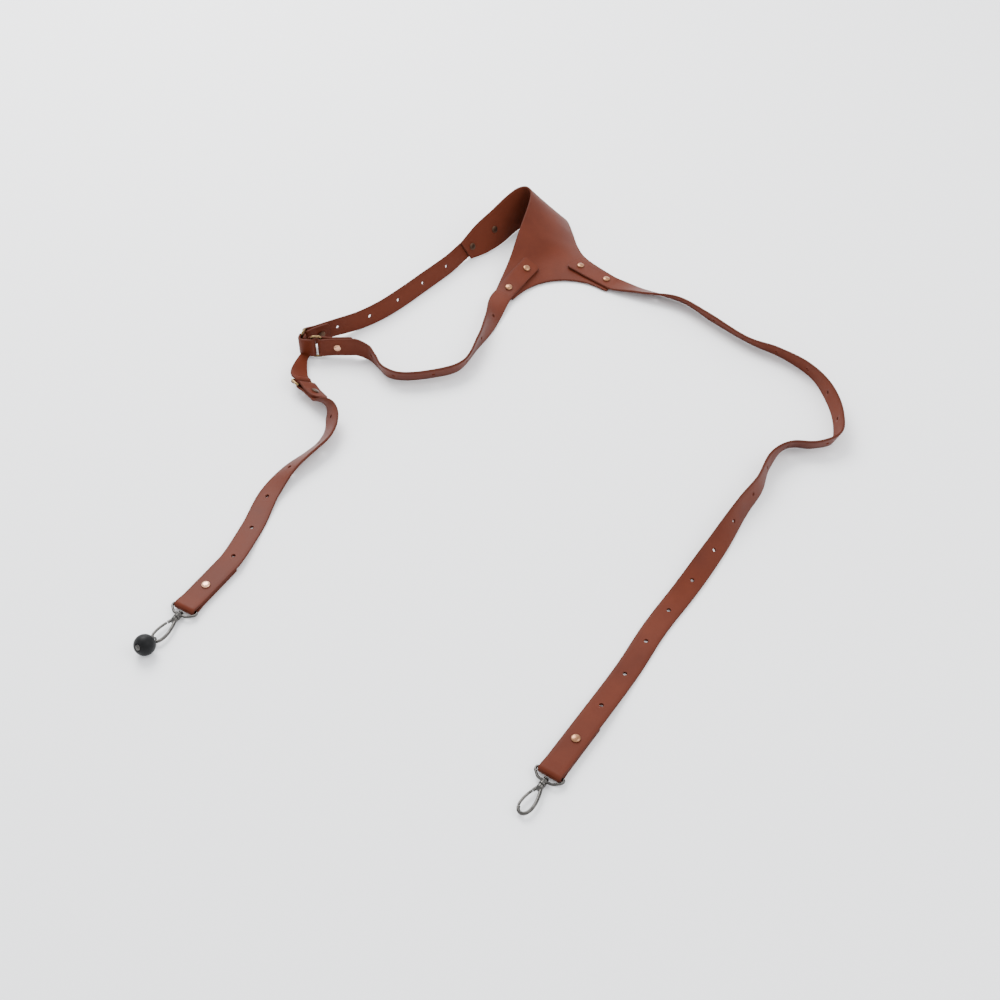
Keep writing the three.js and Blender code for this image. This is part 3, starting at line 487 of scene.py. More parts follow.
class Shader:
    """One material: its tree, its surface shader, and its nodes by type."""

    def __init__(self, name):
        self.material = bpy.data.materials.new(name)
        self.material.use_nodes = True
        self.tree = self.material.node_tree
        self.surface = self.tree.nodes["Principled BSDF"]

    def node(self, kind, settings=None, inputs=None, output=0):
        made = self.tree.nodes.new(kind)
        for name, value in (settings or {}).items():
            if name == "stops":
                ramp = made.color_ramp
                while len(ramp.elements) < len(value):
                    ramp.elements.new(0.5)
                for element, (place, colour) in zip(ramp.elements, value):
                    element.position = place
                    element.color = (*colour, 1)
            else:
                setattr(made, name, value)
        for key, value in (inputs or {}).items():
            self.plug(made.inputs[key], value)
        return Value(self, made.outputs[output])

    def plug(self, socket, value):
        if isinstance(value, Value):
            self.tree.links.new(value.socket, socket)
        elif isinstance(value, tuple) and len(value) == 3 and socket.type == "RGBA":
            socket.default_value = (*value, 1)
        else:
            socket.default_value = value

    def set(self, **values):
        for name, value in values.items():
            self.plug(self.surface.inputs[name.replace("_", " ")], value)
        return self

    def blend(self, factor, a, b):
        settings = {"data_type": "RGBA", "clamp_factor": True}
        return self.node("ShaderNodeMix", settings, {0: factor, 6: a, 7: b}, 2)

    def attribute(self, name):
        return self.node("ShaderNodeAttribute", {"attribute_name": name}, None, 2)

    def place(self):
        """The object's own coordinates."""
        return self.node("ShaderNodeTexCoord", None, None, 3)

    def noise(self, scale, detail, roughness):
        return self.node("ShaderNodeTexNoise", None, {
            "Vector": self.place(), "Scale": scale, "Detail": detail, "Roughness": roughness,
        })

    def bump(self, height, strength, distance):
        inputs = {"Strength": strength, "Distance": distance, "Height": height}
        return self.node("ShaderNodeBump", None, inputs)


LEATHER_BROWN = (0.064, 0.0112, 0.0040)
LEATHER_WARM = (0.098, 0.0195, 0.0078)
LEATHER_EDGE = (0.055, 0.0125, 0.0065)
LEATHER_FLESH = (0.084, 0.0168, 0.0070)
RUBBER_BLACK = (0.0012, 0.0012, 0.0014)
RUBBER_DUSTY = (0.005, 0.005, 0.0055)


def make_leather():
    shader = Shader("brown_leather")
    rim = shader.attribute("rim")
    flesh = shader.attribute("flesh")
    cloud = shader.noise(28.0, 4.0, 0.6)
    streak = shader.noise(210.0, 3.0, 0.6)
    wax = cloud * 1.5 - 0.35
    grain = shader.blend(wax, LEATHER_BROWN, LEATHER_WARM)
    backed = shader.blend(flesh * 0.85, grain, LEATHER_FLESH)
    base = shader.blend(rim * 0.8, backed, LEATHER_EDGE)
    pores = shader.node("ShaderNodeTexVoronoi", {"feature": "F1"}, {
        "Vector": shader.place(), "Scale": 900.0,
    })
    height = pores * 0.5 + streak * 0.5 + flesh * streak * 1.2
    bump = shader.bump(height, 0.22, 0.0003)
    roughness = 0.40 + cloud * 0.16 + flesh * 0.2 + rim * 0.12
    shader.set(Base_Color=base, Roughness=roughness, Normal=bump, Specular_IOR_Level=0.11)
    return shader.material


def make_metal(name, colour, dark, roughness):
    shader = Shader(name)
    cloud = shader.noise(160.0, 3.0, 0.55)
    shader.set(Base_Color=shader.blend(cloud * 1.4 - 0.3, dark, colour), Metallic=1.0)
    shader.set(Roughness=roughness + cloud * 0.1)
    return shader.material


def make_rubber():
    shader = Shader("black_rubber")
    dust = shader.noise(420.0, 4.0, 0.6)
    shader.set(Base_Color=shader.blend(dust * 1.3 - 0.4, RUBBER_BLACK, RUBBER_DUSTY))
    bump = shader.bump(dust, 0.15, 0.0002)
    shader.set(Roughness=0.42 + dust * 0.15, Normal=bump, Specular_IOR_Level=0.16)
    return shader.material


LEATHER_LOOK = make_leather()
COPPER_LOOK = make_metal("copper_studs", (0.80, 0.47, 0.31), (0.48, 0.24, 0.14), 0.18)
OLD_COPPER_LOOK = make_metal("old_copper_rivets", (0.46, 0.24, 0.13), (0.20, 0.09, 0.045), 0.24)
BRONZE_LOOK = make_metal("dark_bronze_caps", (0.16, 0.09, 0.055), (0.05, 0.03, 0.022), 0.34)
BRASS_LOOK = make_metal("antique_brass", (0.34, 0.22, 0.095), (0.055, 0.036, 0.018), 0.22)
GUNMETAL_LOOK = make_metal("gunmetal", (0.125, 0.118, 0.11), (0.026, 0.025, 0.024), 0.17)
RUBBER_LOOK = make_rubber()


# Meshes.
def add_mesh(name, points, faces, look, body, slot, nodes=(), **marks):
    """A mesh of layout points in millimetres, with its named marks as vertex values."""
    mesh = bpy.data.meshes.new(name)
    mesh.from_pydata([tuple((np.array(p) + LAYOUT) * MM) for p in points], [], faces)
    for mark, values in marks.items():
        layer = mesh.attributes.new(mark, "FLOAT", "POINT")
        layer.data.foreach_set("value", np.array(values, float))
    mesh.materials.append(look)
    mesh.polygons.foreach_set("use_smooth", [True] * len(mesh.polygons))
    mesh.update()
    obj = bpy.data.objects.new(name, mesh)
    bpy.context.collection.objects.link(obj)
    if body:
        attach(obj, body)
    if nodes:
        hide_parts(*nodes)
    return obj


def sharpen(obj, degrees):
    obj.data.set_sharp_from_angle(angle=math.radians(degrees))


def profile_across(width):
    """The section of a strap: across and out, with how far each point is rim or flesh."""
    half, deep, r = width / 2, LEATHER / 2, RIM_ROUND
    points = []
    for k in range(5):
        angle = math.pi / 2 * k / 4
        points.append((half - r + r * math.sin(angle), deep - r + r * math.cos(angle)))
    lower = [(x, -y) for x, y in reversed(points)]
    inner = [(half * share, -deep) for share in (0.6, 0.0, -0.6)]
    left = [(-x, y) for x, y in reversed(lower)]
    left_top = [(-x, y) for x, y in reversed(points)]
    top = [(half * share, deep) for share in (-0.6, 0.0, 0.6)]
    outline = points + lower + inner + left + left_top + top
    edge = half - 1.3 * r
    rim = [1.0 if abs(y) < deep - 0.05 else 0.25 if abs(x) > edge else 0.0 for x, y in outline]
    flesh = [1.0 if y < 0 else 0.0 for x, y in outline]
    return outline, rim, flesh


def end_widths(stations, rounded):
    """How wide the strap is at each station, its cut ends rounded at the corners."""
    reach = distances_along([s.centre for s in stations])
    total = reach[-1]
    widths = []
    for s in reach:
        near = min(s if rounded[0] else total, total - s if rounded[1] else total)
        inset = 0.0
        if near < CORNER:
            inset = CORNER - math.sqrt(max(0.0, CORNER ** 2 - (CORNER - near) ** 2))
        widths.append(STRAP_WIDTH - 2 * inset)
    return widths


def with_end_steps(stations):
    """Adds close cross lines at both cut ends, where the corners are rounded."""
    def between(a, b, share):
        centre, along = mix(a.centre, b.centre, share), mix(a.along, b.along, share)
        across, face = unit(mix(a.across, b.across, share)), unit(mix(a.face, b.face, share))
        return Station(centre, along, across, face, a.lift)

    def refine(run):
        out, travelled = [run[0]], 0.0
        for a, b in zip(run, run[1:]):
            length = np.linalg.norm(b.centre - a.centre)
            if travelled < CORNER + 1:
                count = max(1, round(length / 0.5))
                out += [between(a, b, k / count) for k in range(1, count)]
            out.append(b)
            travelled += length
        return out

    return refine(refine(stations)[::-1])[::-1]


def ribbon_mesh(stations, rounded=(True, True)):
    run = with_end_steps(stations)
    widths = end_widths(run, rounded)
    points, rims, fleshes = [], [], []
    for station, width in zip(run, widths):
        outline, rim, flesh = profile_across(max(width, 2.0))
        points += [station.centre + station.across * x + station.face * y for x, y in outline]
        rims += rim
        fleshes += flesh
    n = len(outline)
    faces = []
    for i in range(len(run) - 1):
        for j in range(n):
            k = (j + 1) % n
            faces.append((i * n + j, (i + 1) * n + j, (i + 1) * n + k, i * n + k))
    last = (len(run) - 1) * n
    faces.append(tuple(range(n)))
    faces.append(tuple(last + j for j in reversed(range(n))))
    for j in range(n):
        rims[j] = rims[last + j] = 0.9
    return points, faces, rims, fleshes


def disc_rod(a, b, radius, sides):
    """A cylinder between two points, as points and faces."""
    line = unit(b - a)
    u = unit(np.cross(line, vec(0.3, 0.5, 0.8)))
    w = np.cross(line, u)
    points = []
    for end in (a, b):
        for k in range(sides):
            angle = 2 * math.pi * k / sides
            points.append(end + (u * math.cos(angle) + w * math.sin(angle)) * radius)
    faces = [(k, (k + 1) % sides, sides + (k + 1) % sides, sides + k) for k in range(sides)]
    faces.append(tuple(reversed(range(sides))))
    faces.append(tuple(range(sides, 2 * sides)))
    return points, faces


def punch(obj, spots, depth):
    """Cuts round holes through a leather piece; their walls count as rim."""
    points, faces = joined(*(
        disc_rod(centre - face * depth, centre + face * depth, HOLE_SIZE / 2, 24)
        for centre, face, *_ in spots
    ))
    marks = {"rim": [1.0] * len(points), "flesh": [0.0] * len(points)}
    cutter = add_mesh("cutter", points, faces, LEATHER_LOOK, None, None, **marks)
    cut = obj.modifiers.new("holes", "BOOLEAN")
    cut.operation = "DIFFERENCE"
    cut.solver = "EXACT"
    cut.object = cutter
    graph = bpy.context.evaluated_depsgraph_get()
    mesh = bpy.data.meshes.new_from_object(obj.evaluated_get(graph), depsgraph=graph)
    obj.modifiers.clear()
    old = obj.data
    obj.data = mesh
    bpy.data.meshes.remove(old)
    cutter_mesh = cutter.data
    bpy.data.objects.remove(cutter)
    bpy.data.meshes.remove(cutter_mesh)


def flip_if_inside_out(points, faces):
    volume = 0.0
    for f in faces:
        a = points[f[0]]
        for i in range(1, len(f) - 1):
            volume += a @ np.cross(points[f[i]], points[f[i + 1]])
    return faces if volume > 0 else [tuple(reversed(f)) for f in faces]


def swept_tube(path, radius, closed=True, sides=16):
    """A round bar along points; the frame of its section is carried along without twist."""
    n = len(path)
    tangents = []
    for i in range(n):
        before = path[i - 1] if closed or i > 0 else path[i]
        after = path[(i + 1) % n] if closed or i < n - 1 else path[i]
        tangents.append(unit(after - before))
    normal = unit(np.cross(tangents[0], np.cross(vec(0.2, 0.3, 1.0), tangents[0])))
    points, faces = [], []
    for place, line in zip(path, tangents):
        normal = unit(normal - line * (normal @ line))
        side = np.cross(line, normal)
        for k in range(sides):
            angle = 2 * math.pi * k / sides
            points.append(place + (normal * math.cos(angle) + side * math.sin(angle)) * radius)
    for i in range(n if closed else n - 1):
        for k in range(sides):
            a, b = i * sides + k, i * sides + (k + 1) % sides
            c, d = ((i + 1) % n) * sides + (k + 1) % sides, ((i + 1) % n) * sides + k
            faces.append((a, b, c, d))
    if not closed:
        faces.append(tuple(reversed(range(sides))))
        faces.append(tuple((n - 1) * sides + k for k in range(sides)))
    return points, faces


def turned(profile, centre, axis, sides=32):
    """A solid of revolution: (radius, height) pairs turned round an axis."""
    u = unit(np.cross(axis, vec(0.31, 0.52, 0.79)))
    w = np.cross(axis, u)
    points, faces = [], []
    for radius, height in profile:
        for k in range(sides):
            angle = 2 * math.pi * k / sides
            out = u * math.cos(angle) + w * math.sin(angle)
            points.append(centre + axis * height + out * radius)
    for i in range(len(profile) - 1):
        for k in range(sides):
            j = (k + 1) % sides
            faces.append((i * sides + k, i * sides + j, (i + 1) * sides + j, (i + 1) * sides + k))
    if profile[0][0] > 0.01:
        faces.append(tuple(reversed(range(sides))))
    if profile[-1][0] > 0.01:
        faces.append(tuple((len(profile) - 1) * sides + k for k in range(sides)))
    return points, faces


def joined(*shells):
    """Several shells of points and faces as one."""
    points, faces = [], []
    for shell_points, shell_faces in shells:
        start = len(points)
        points += list(shell_points)
        faces += [tuple(start + i for i in f) for f in shell_faces]
    return points, faces


# Rings.
def ring_piece(name, strap_bar, inward):
    """A rounded rectangle of brass wire between the strap's bar and the connector's bar."""
    half_x, half_y, r = BAR_SPACING / 2, RING_LENGTH / 2 + RING_WIRE / 2, RING_WIRE * 0.9
    centre = strap_bar.centre + inward * BAR_SPACING / 2
    path = []
    for sx, sy, start in ((1, 1, 0), (-1, 1, 90), (-1, -1, 180), (1, -1, 270)):
        for k in range(9):
            angle = math.radians(start + 90 * k / 8)
            x = sx * (half_x - r) + math.cos(angle) * r
            y = sy * (half_y - r) + math.sin(angle) * r
            path.append(centre + inward * x + strap_bar.axis * y)
    return add_mesh(name, *swept_tube(path, RING_WIRE / 2), BRASS_LOOK, "harness", "ring", (name,))


class Ring:
    def __init__(self, place, bearing, lean, inward):
        height = (RING_LENGTH / 2 + RING_WIRE) * abs(math.sin(math.radians(lean))) + RING_WIRE / 2
        self.bar = bar_for(vec(place[0], place[1], height), bearing, lean)
        self.inward = bar_along(self.bar.centre, self.bar.axis, inward).out
        self.inner_centre = self.bar.centre + self.inward * BAR_SPACING
        self.inner_axis = -self.bar.axis


UPPER_LAP = arm_lap()
MIDDLE_LAP = panel_lap(mix(HEM_POINTS[0], HEM_POINTS[1], 0.5), MIDDLE_ARM_BEARING)
RIGHT_LAP = panel_lap(mix(HEM_POINTS[6], HEM_POINTS[7], 0.5), RIGHT_ARM_BEARING)
HUB = UPPER_LAP[-1].centre + heading(UPPER_BEARING) * UPPER_SPAN
UPPER_RING = Ring(HUB, bearing=29, lean=90, inward=-107)
MIDDLE_RING = Ring(HUB + vec(17, -15), bearing=0, lean=-90, inward=180)
LOWER_RING = Ring(HUB + vec(6, -72), bearing=-52, lean=-146, inward=128)
ring_piece("ring_upper", UPPER_RING.bar, UPPER_RING.inward)
ring_piece("ring_middle", MIDDLE_RING.bar, MIDDLE_RING.inward)
ring_piece("ring_lower", LOWER_RING.bar, LOWER_RING.inward)


# The connector: a saddle of leather between three folded arms.
CONNECTOR_TAIL = 4.5
CONNECTOR_SPLIT = 0.42
CONNECTOR_BULGE = 5.0
FAR_PULL = (9.0, 13.0)
NEAR_PULL = (4.0, 4.0)
UPPER_ARM = bar_along(UPPER_RING.inner_centre, UPPER_RING.inner_axis, bearing=-101)
MIDDLE_ARM = bar_along(MIDDLE_RING.inner_centre, MIDDLE_RING.inner_axis, bearing=180)
LOWER_ARM = bar_along(LOWER_RING.inner_centre, LOWER_RING.bar.axis, bearing=128)
UPPER_FOLD, MIDDLE_FOLD, LOWER_FOLD = (
    folded_end(arm, CONNECTOR_TAIL, CONNECTOR_TAIL) for arm in (UPPER_ARM, MIDDLE_ARM, LOWER_ARM)
)


def corner_of(fold, side):
    start = fold[1]
    return start.centre + start.across * side * STRAP_WIDTH / 2


def connector_side(top, bottom, foot, out, pull, v):
    if v <= CONNECTOR_SPLIT:
        return mix(top, bottom, v / CONNECTOR_SPLIT)
    share = (v - CONNECTOR_SPLIT) / (1 - CONNECTOR_SPLIT)
    return bezier(bottom, bottom + out * pull[0], foot + LOWER_ARM.out * pull[1], foot, share)


CORNERS = {
    "left": [corner_of(UPPER_FOLD, -1), corner_of(UPPER_FOLD, 1), corner_of(LOWER_FOLD, -1)],
    "right": [corner_of(MIDDLE_FOLD, 1), corner_of(MIDDLE_FOLD, -1), corner_of(LOWER_FOLD, 1)],
}


def connector_point(u, v):
    left = connector_side(*CORNERS["left"], UPPER_ARM.out, FAR_PULL, v)
    right = connector_side(*CORNERS["right"], MIDDLE_ARM.out, NEAR_PULL, v)
    flat = smooth(v)
    chord = (right - left) / 3
    bulge = CONNECTOR_BULGE * (1 - flat)
    near_left = left + UPPER_ARM.out * bulge + chord * flat
    near_right = right + MIDDLE_ARM.out * bulge - chord * flat
    return bezier(left, near_left, near_right, right, u)


def sheet_mesh(surface, columns, steps):
    """A leather sheet of even thickness over a surface, its cut edge rounded."""
    half, r = LEATHER / 2, RIM_ROUND
    rows = [[(surface(i / columns, j / steps), surface_face(surface, i / columns, j / steps))
             for i in range(columns + 1)] for j in range(steps + 1)]
    border = [(0, i) for i in range(columns)] + [(j, columns) for j in range(steps)]
    border += [(steps, i) for i in range(columns, 0, -1)] + [(j, 0) for j in range(steps, 0, -1)]
    inner = {}
    points, rims, fleshes, faces = [], [], [], []

    def add(point, rim, flesh):
        points.append(point)
        rims.append(rim)
        fleshes.append(flesh)
        return len(points) - 1

    def inset_of(j, i):
        p, face = rows[j][i]
        pj = rows[min(steps, j + 1)][i][0] - rows[max(0, j - 1)][i][0]
        pi = rows[j][min(columns, i + 1)][0] - rows[j][max(0, i - 1)][0]
        way = vec(0, 0)
        if i in (0, columns):
            side = np.cross(unit(pj), face)
            way = way + side * (1 if side @ pi * (1 if i == 0 else -1) > 0 else -1)
        if j in (0, steps):
            side = np.cross(unit(pi), face)
            way = way + side * (1 if side @ pj * (1 if j == 0 else -1) > 0 else -1)
        return unit(way)

    for side in (1, -1):
        for j in range(steps + 1):
            for i in range(columns + 1):
                p, face = rows[j][i]
                on_edge = i in (0, columns) or j in (0, steps)
                place = p + face * half * side + (inset_of(j, i) * r if on_edge else 0)
                inner[side, j, i] = add(place, 0.25 if on_edge else 0.0, 1.0 if side < 0 else 0.0)
        for j in range(steps):
            for i in range(columns):
                around = ((j, i), (j, i + 1), (j + 1, i + 1), (j + 1, i))
                quad = [inner[side, row, column] for row, column in around]
                faces.append(tuple(quad if side < 0 else reversed(quad)))
    loops = [[inner[1, j, i] for j, i in border]]
    for angle in (30, 60, 90, 120, 150):
        turn = math.radians(angle)
        loop = []
        for j, i in border:
            p, face = rows[j][i]
            rise = math.cos(turn)
            height = (half - r) * (1 if rise > 0.01 else -1 if rise < -0.01 else 0) + r * rise
            place = p + face * height + inset_of(j, i) * r * (1 - math.sin(turn))
            worn = 0.6 if angle in (30, 150) else 1.0
            loop.append(add(place, worn, 1.0 if rise < -0.01 else 0.0))
        loops.append(loop)
    loops.append([inner[-1, j, i] for j, i in border])
    count = len(border)
    for upper, lower in zip(loops, loops[1:]):
        for k in range(count):
            n = (k + 1) % count
            faces.append((upper[k], upper[n], lower[n], lower[k]))
    return points, flip_if_inside_out(points, faces), rims, fleshes


def leather_mesh(name, shells, nodes):
    points, faces = joined(*((p, f) for p, f, _, _ in shells))
    rims = [x for _, _, r, _ in shells for x in r]
    fleshes = [x for _, _, _, f in shells for x in f]
    marks = {"rim": rims, "flesh": fleshes}
    return add_mesh(name, points, faces, LEATHER_LOOK, "harness", "leather", nodes, **marks)


def connector_piece():
    shells = [sheet_mesh(connector_point, 36, 60)]
    for fold in (UPPER_FOLD, MIDDLE_FOLD, LOWER_FOLD):
        points, faces, rims, fleshes = ribbon_mesh(fold, (False, True))
        shells.append((points, flip_if_inside_out(points, faces), rims, fleshes))
    obj = leather_mesh("connector", shells, ("connector",))
    sharpen(obj, 50)


connector_piece()


# Straps.
def hook_bar(side, start, bearing, reach):
    place = (start + heading(bearing) * reach) * vec(1, 1) + UP * HOOK_PLANE
    return bar_for(place, HOOK_BEARINGS[side], 0)


LEFT_HOOK_BAR = hook_bar("left", LOWER_RING.bar.centre, LEFT_BEARING, LEFT_REACH)
RIGHT_HOOK_BAR = hook_bar("right", RIGHT_LAP[-1].centre, RIGHT_BEARING, RIGHT_REACH)
UPPER_END = folded_end(UPPER_RING.bar, TAILS["upper"])
MIDDLE_END = folded_end(MIDDLE_RING.bar, TAILS["middle"])
LOWER_END = reversed_run(folded_end(LOWER_RING.bar, TAILS["lower"]))
LEFT_END = folded_end(LEFT_HOOK_BAR, TAILS["left"])
RIGHT_END = folded_end(RIGHT_HOOK_BAR, TAILS["right"])
RUNS = {
    "upper": [*UPPER_LAP, *free_run(UPPER_LAP, UPPER_END, UPPER_ROUTE), *UPPER_END],
    "middle": [*MIDDLE_LAP, *free_run(MIDDLE_LAP, MIDDLE_END, MIDDLE_ROUTE), *MIDDLE_END],
    "left": [*LOWER_END, *free_run(LOWER_END, LEFT_END, LEFT_ROUTE), *LEFT_END],
    "right": [*RIGHT_LAP, *free_run(RIGHT_LAP, RIGHT_END, RIGHT_ROUTE), *RIGHT_END],
}
LAP_SPOTS = {}
for arm, lap in (("upper", UPPER_LAP), ("middle", MIDDLE_LAP), ("right", RIGHT_LAP)):
    total = run_length(lap)
    insets = (ARM_INSET, ARM_INSET + RIVET_PITCH)
    LAP_SPOTS[arm] = [spots_along(lap, total - inset, total, total)[0] for inset in insets]


def stud_spot(bar, inset):
    return bar.centre + bar.out * inset, bar.grain


STUDS = {
    "upper": stud_spot(UPPER_RING.bar, STUD_INSETS["upper"]),
    "middle": stud_spot(MIDDLE_RING.bar, STUD_INSETS["middle"]),
    "lower": stud_spot(LOWER_RING.bar, STUD_INSETS["lower"]),
    "left": stud_spot(LEFT_HOOK_BAR, STUD_INSETS["left"]),
    "right": stud_spot(RIGHT_HOOK_BAR, STUD_INSETS["right"]),
}


def strap_piece(arm, laps, loops):
    run = RUNS[arm]
    fold = math.pi * FOLD_RADIUS
    free = LAP_TOTAL + STRAP_MARGIN if laps else 2 * TAILS["lower"] + fold + STRAP_MARGIN
    last = run_length(run) - TAILS[arm] - fold - STUD_INSETS[arm] - FIRST_HOLES[arm] * HOLE_PITCH
    start = last - math.floor((last - free) / HOLE_PITCH) * HOLE_PITCH
    holes = spots_along(run, start, last + CLEARANCE, HOLE_PITCH)
    points, faces, rims, fleshes = ribbon_mesh(run)
    faces = flip_if_inside_out(points, faces)
    name = f"{arm}_strap"
    obj = leather_mesh(name, [(points, faces, rims, fleshes)], (name,))
    punch(obj, [*holes, *laps], LEATHER)
    punch(obj, loops, THROUGH_LAP)
    sharpen(obj, 50)


strap_piece("upper", LAP_SPOTS["upper"], [STUDS["upper"]])
strap_piece("middle", LAP_SPOTS["middle"], [STUDS["middle"]])
strap_piece("left", [], [STUDS["lower"], STUDS["left"]])
strap_piece("right", LAP_SPOTS["right"], [STUDS["right"]])


# The yoke.
def yoke_piece():
    obj = leather_mesh("yoke", [sheet_mesh(yoke_point, 60, 150)], ("yoke",))
    punch(obj, [spot for spots in LAP_SPOTS.values() for spot in spots], THROUGH_LAP)
    sharpen(obj, 50)


yoke_piece()


# Rivets and studs: a domed head, a shank and a flat cap.
def fastener(name, front, back, face, look):
    r = HEAD_SIZE / 2
    base = front + face * CLEARANCE
    depth = (front - back) @ face + 2 * CLEARANCE
    foot = -depth - CAP_HEIGHT
    profile = [(0.0, foot), (r - 0.5, foot), (r - 0.15, foot + 0.15), (r - 0.15, -depth - 0.1),
               (r - 0.4, -depth), (SHANK_SIZE / 2, -depth), (SHANK_SIZE / 2, 0.0), (r - 0.25, 0.0),
               (r, HEAD_RIM)]
    for k in range(1, 9):
        angle = math.pi / 2 * k / 8
        wide = r * math.cos(angle) ** 0.8 if k < 8 else 0.0
        profile.append((wide, HEAD_RIM + (HEAD_HEIGHT - HEAD_RIM) * math.sin(angle)))
    points, faces = turned(profile, base, face)
    faces = flip_if_inside_out(points, faces)
    obj = add_mesh(name, points, faces, look, "harness", "stud", (name,))
    sharpen(obj, 40)
    obj.data.materials.append(BRONZE_LOOK)
    for polygon in obj.data.polygons:
        height = (np.array(polygon.center) / MM - LAYOUT - base) @ face
        if height < -depth + 0.05:
            polygon.material_index = 1


for arm, spots in LAP_SPOTS.items():
    for number, (centre, face, lift) in enumerate(spots, 1):
        front = centre + face * (LEATHER / 2 + LAP_SEAT)
        back = centre - face * (lift + LEATHER / 2)
        fastener(f"{arm}_arm_rivet_{number}", front, back, face, OLD_COPPER_LOOK)
STUD_NAMES = {
    "upper": "upper_ring_stud", "middle": "middle_ring_stud", "lower": "lower_ring_stud",
    "left": "left_hook_stud", "right": "right_hook_stud",
}
for end, name in STUD_NAMES.items():
    centre, face = STUDS[end]
    depth = LEATHER + CLEARANCE / 2
    look = OLD_COPPER_LOOK if end == "right" else COPPER_LOOK
    fastener(name, centre + face * depth, centre - face * depth, face, look)


# Hooks: a rounded eye, a swivel barrel and a sprung loop with its gate.
HOOK_START = EYE_DEPTH - RING_WIRE / 2 + BARREL_LENGTH + SWIVEL_CLEARANCE


class HookFrame:
    def __init__(self, bar):
        self.centre = bar.centre
        self.forward = -bar.out
        self.across = np.cross(UP, self.forward)

    def place(self, x, y, z=0.0):
        return self.centre + self.forward * x + self.across * y + UP * z

    def read(self, point):
        """How far along and across the hook a point is."""
        return (point - self.centre) @ self.forward, (point - self.centre) @ self.across


def loop_half(share, width):
    return width * math.sqrt(max(0.0, share) * (1 - share)) * (0.62 + 0.76 * share)


def loop_path(hook, wire, count):
    """The middle line of the hook's loop, from its heel along -Y to the nose and back."""
    length, width = HOOK_LENGTH - wire, HOOK_WIDTH - wire
    path = []
    for k in range(count):
        turn = 2 * math.pi * k / count
        share = 0.5 - 0.5 * math.cos(turn)
        y = -loop_half(share, width) * (1 if turn < math.pi else -1)
        path.append(hook.place(HOOK_START + wire / 2 + length * share, y))
    return path


def resample(points, count):
    lengths = distances_along(points)
    out = []
    for s in np.linspace(0, lengths[-1], count):
        k = min(len(points) - 2, int(np.searchsorted(lengths, s, side="right") - 1))
        share = (s - lengths[k]) / max(1e-9, lengths[k + 1] - lengths[k])
        out.append(mix(points[k], points[k + 1], share))
    return out


def hook_pieces(side, bar, snap, gate_body):
    hook = HookFrame(bar)
    axis = hook.forward
    half = RING_LENGTH / 2 + RING_WIRE / 2
    front = RING_LENGTH * EYE_FRONT
    corners = [(0, -half), (RING_WIRE * 1.5, -half), (EYE_DEPTH, -front),
               (EYE_DEPTH, front), (RING_WIRE * 1.5, half), (0, half)]
    path = []
    for k, (x, y) in enumerate(corners):
        here = np.array([x, y], float)
        before = np.array(corners[k - 1], float)
        after = np.array(corners[(k + 1) % len(corners)], float)
        a = here + unit(before - here) * EYE_CORNER
        b = here + unit(after - here) * EYE_CORNER
        for i in range(7):
            t = i / 6
            p = a * (1 - t) ** 2 + here * 2 * t * (1 - t) + b * t * t
            path.append(hook.place(*p))
    start = EYE_DEPTH - RING_WIRE / 2
    r, bore = BARREL_SIZE / 2, PIN_SIZE / 2 + SWIVEL_CLEARANCE
    end = BARREL_LENGTH
    section = [(bore, 0.4), (r - 0.6, 0.4), (r - 0.15, 0.9), (r, 1.4), (r, 2.2), (r - 0.35, 2.6),
               (r - 0.35, 3.4), (r, 3.8), (r, end - 0.5), (r - 0.3, end - 0.1), (r - 0.7, end),
               (bore, end), (bore, 0.4)]
    barrel = turned(section, hook.place(start, 0), axis)
    points, faces = joined(swept_tube(path, RING_WIRE / 2), barrel)
    eye_name = f"{side}_hook_eye"
    eye = add_mesh(eye_name, points, faces, GUNMETAL_LOOK, "harness", "hook", (eye_name,))
    sharpen(eye, 45)

    whole = loop_path(hook, HOOK_WIRE, 144)
    low = HOOK_START + HOOK_LENGTH * GATE_FROM - CLEARANCE
    high = HOOK_START + HOOK_LENGTH * GATE_TO + CLEARANCE
    kept = []
    for p in whole:
        x, y = hook.read(p)
        kept.append(not (y < -GATE_INSET and low < x < high))
    first = kept.index(False)
    order = whole[first:] + whole[:first]
    flags = kept[first:] + kept[:first]
    open_path = [p for p, k in zip(order, flags) if k]
    loop = swept_tube(resample(open_path, 110), HOOK_WIRE / 2, False)
    collar_r = BARREL_SIZE * 0.46
    collar = turned([(collar_r - 0.6, 0.0), (collar_r, 0.4), (collar_r, 2.6), (collar_r - 0.5, 3.6),
                     (collar_r - 1.3, HOOK_LENGTH * 0.16)], hook.place(HOOK_START, 0), axis)
    pin_x, pin_r = start - SWIVEL_CLEARANCE - PIN_HEAD, PIN_SIZE * 0.8
    pin = turned([(pin_r - 0.3, 0.0), (pin_r, 0.3), (pin_r, PIN_HEAD), (PIN_SIZE / 2, PIN_HEAD),
                  (PIN_SIZE / 2, HOOK_START + 1 - pin_x)], hook.place(pin_x, 0), axis)
    body_name = f"{side}_hook_body"
    points, faces = joined(loop, collar, pin)
    body = add_mesh(body_name, points, faces, GUNMETAL_LOOK, snap, "hook", (body_name,))
    sharpen(body, 45)

    lever = []
    for p in loop_path(hook, GATE_WIDTH, 200):
        x, y = hook.read(p)
        if y < -GATE_INSET and low + 2 * CLEARANCE < x < high - 2 * CLEARANCE:
            lever.append(p)
    gate_name = f"{side}_hook_gate"
    gate = add_mesh(gate_name, *swept_tube(resample(lever, 40), GATE_WIDTH / 2, False),
                    GUNMETAL_LOOK, gate_body, "hook", (gate_name,))
    sharpen(gate, 45)
    return hook


LEFT_HOOK = hook_pieces("left", LEFT_HOOK_BAR, "left_snap", "left_gate")
hook_pieces("right", RIGHT_HOOK_BAR, "right_snap", "right_gate")


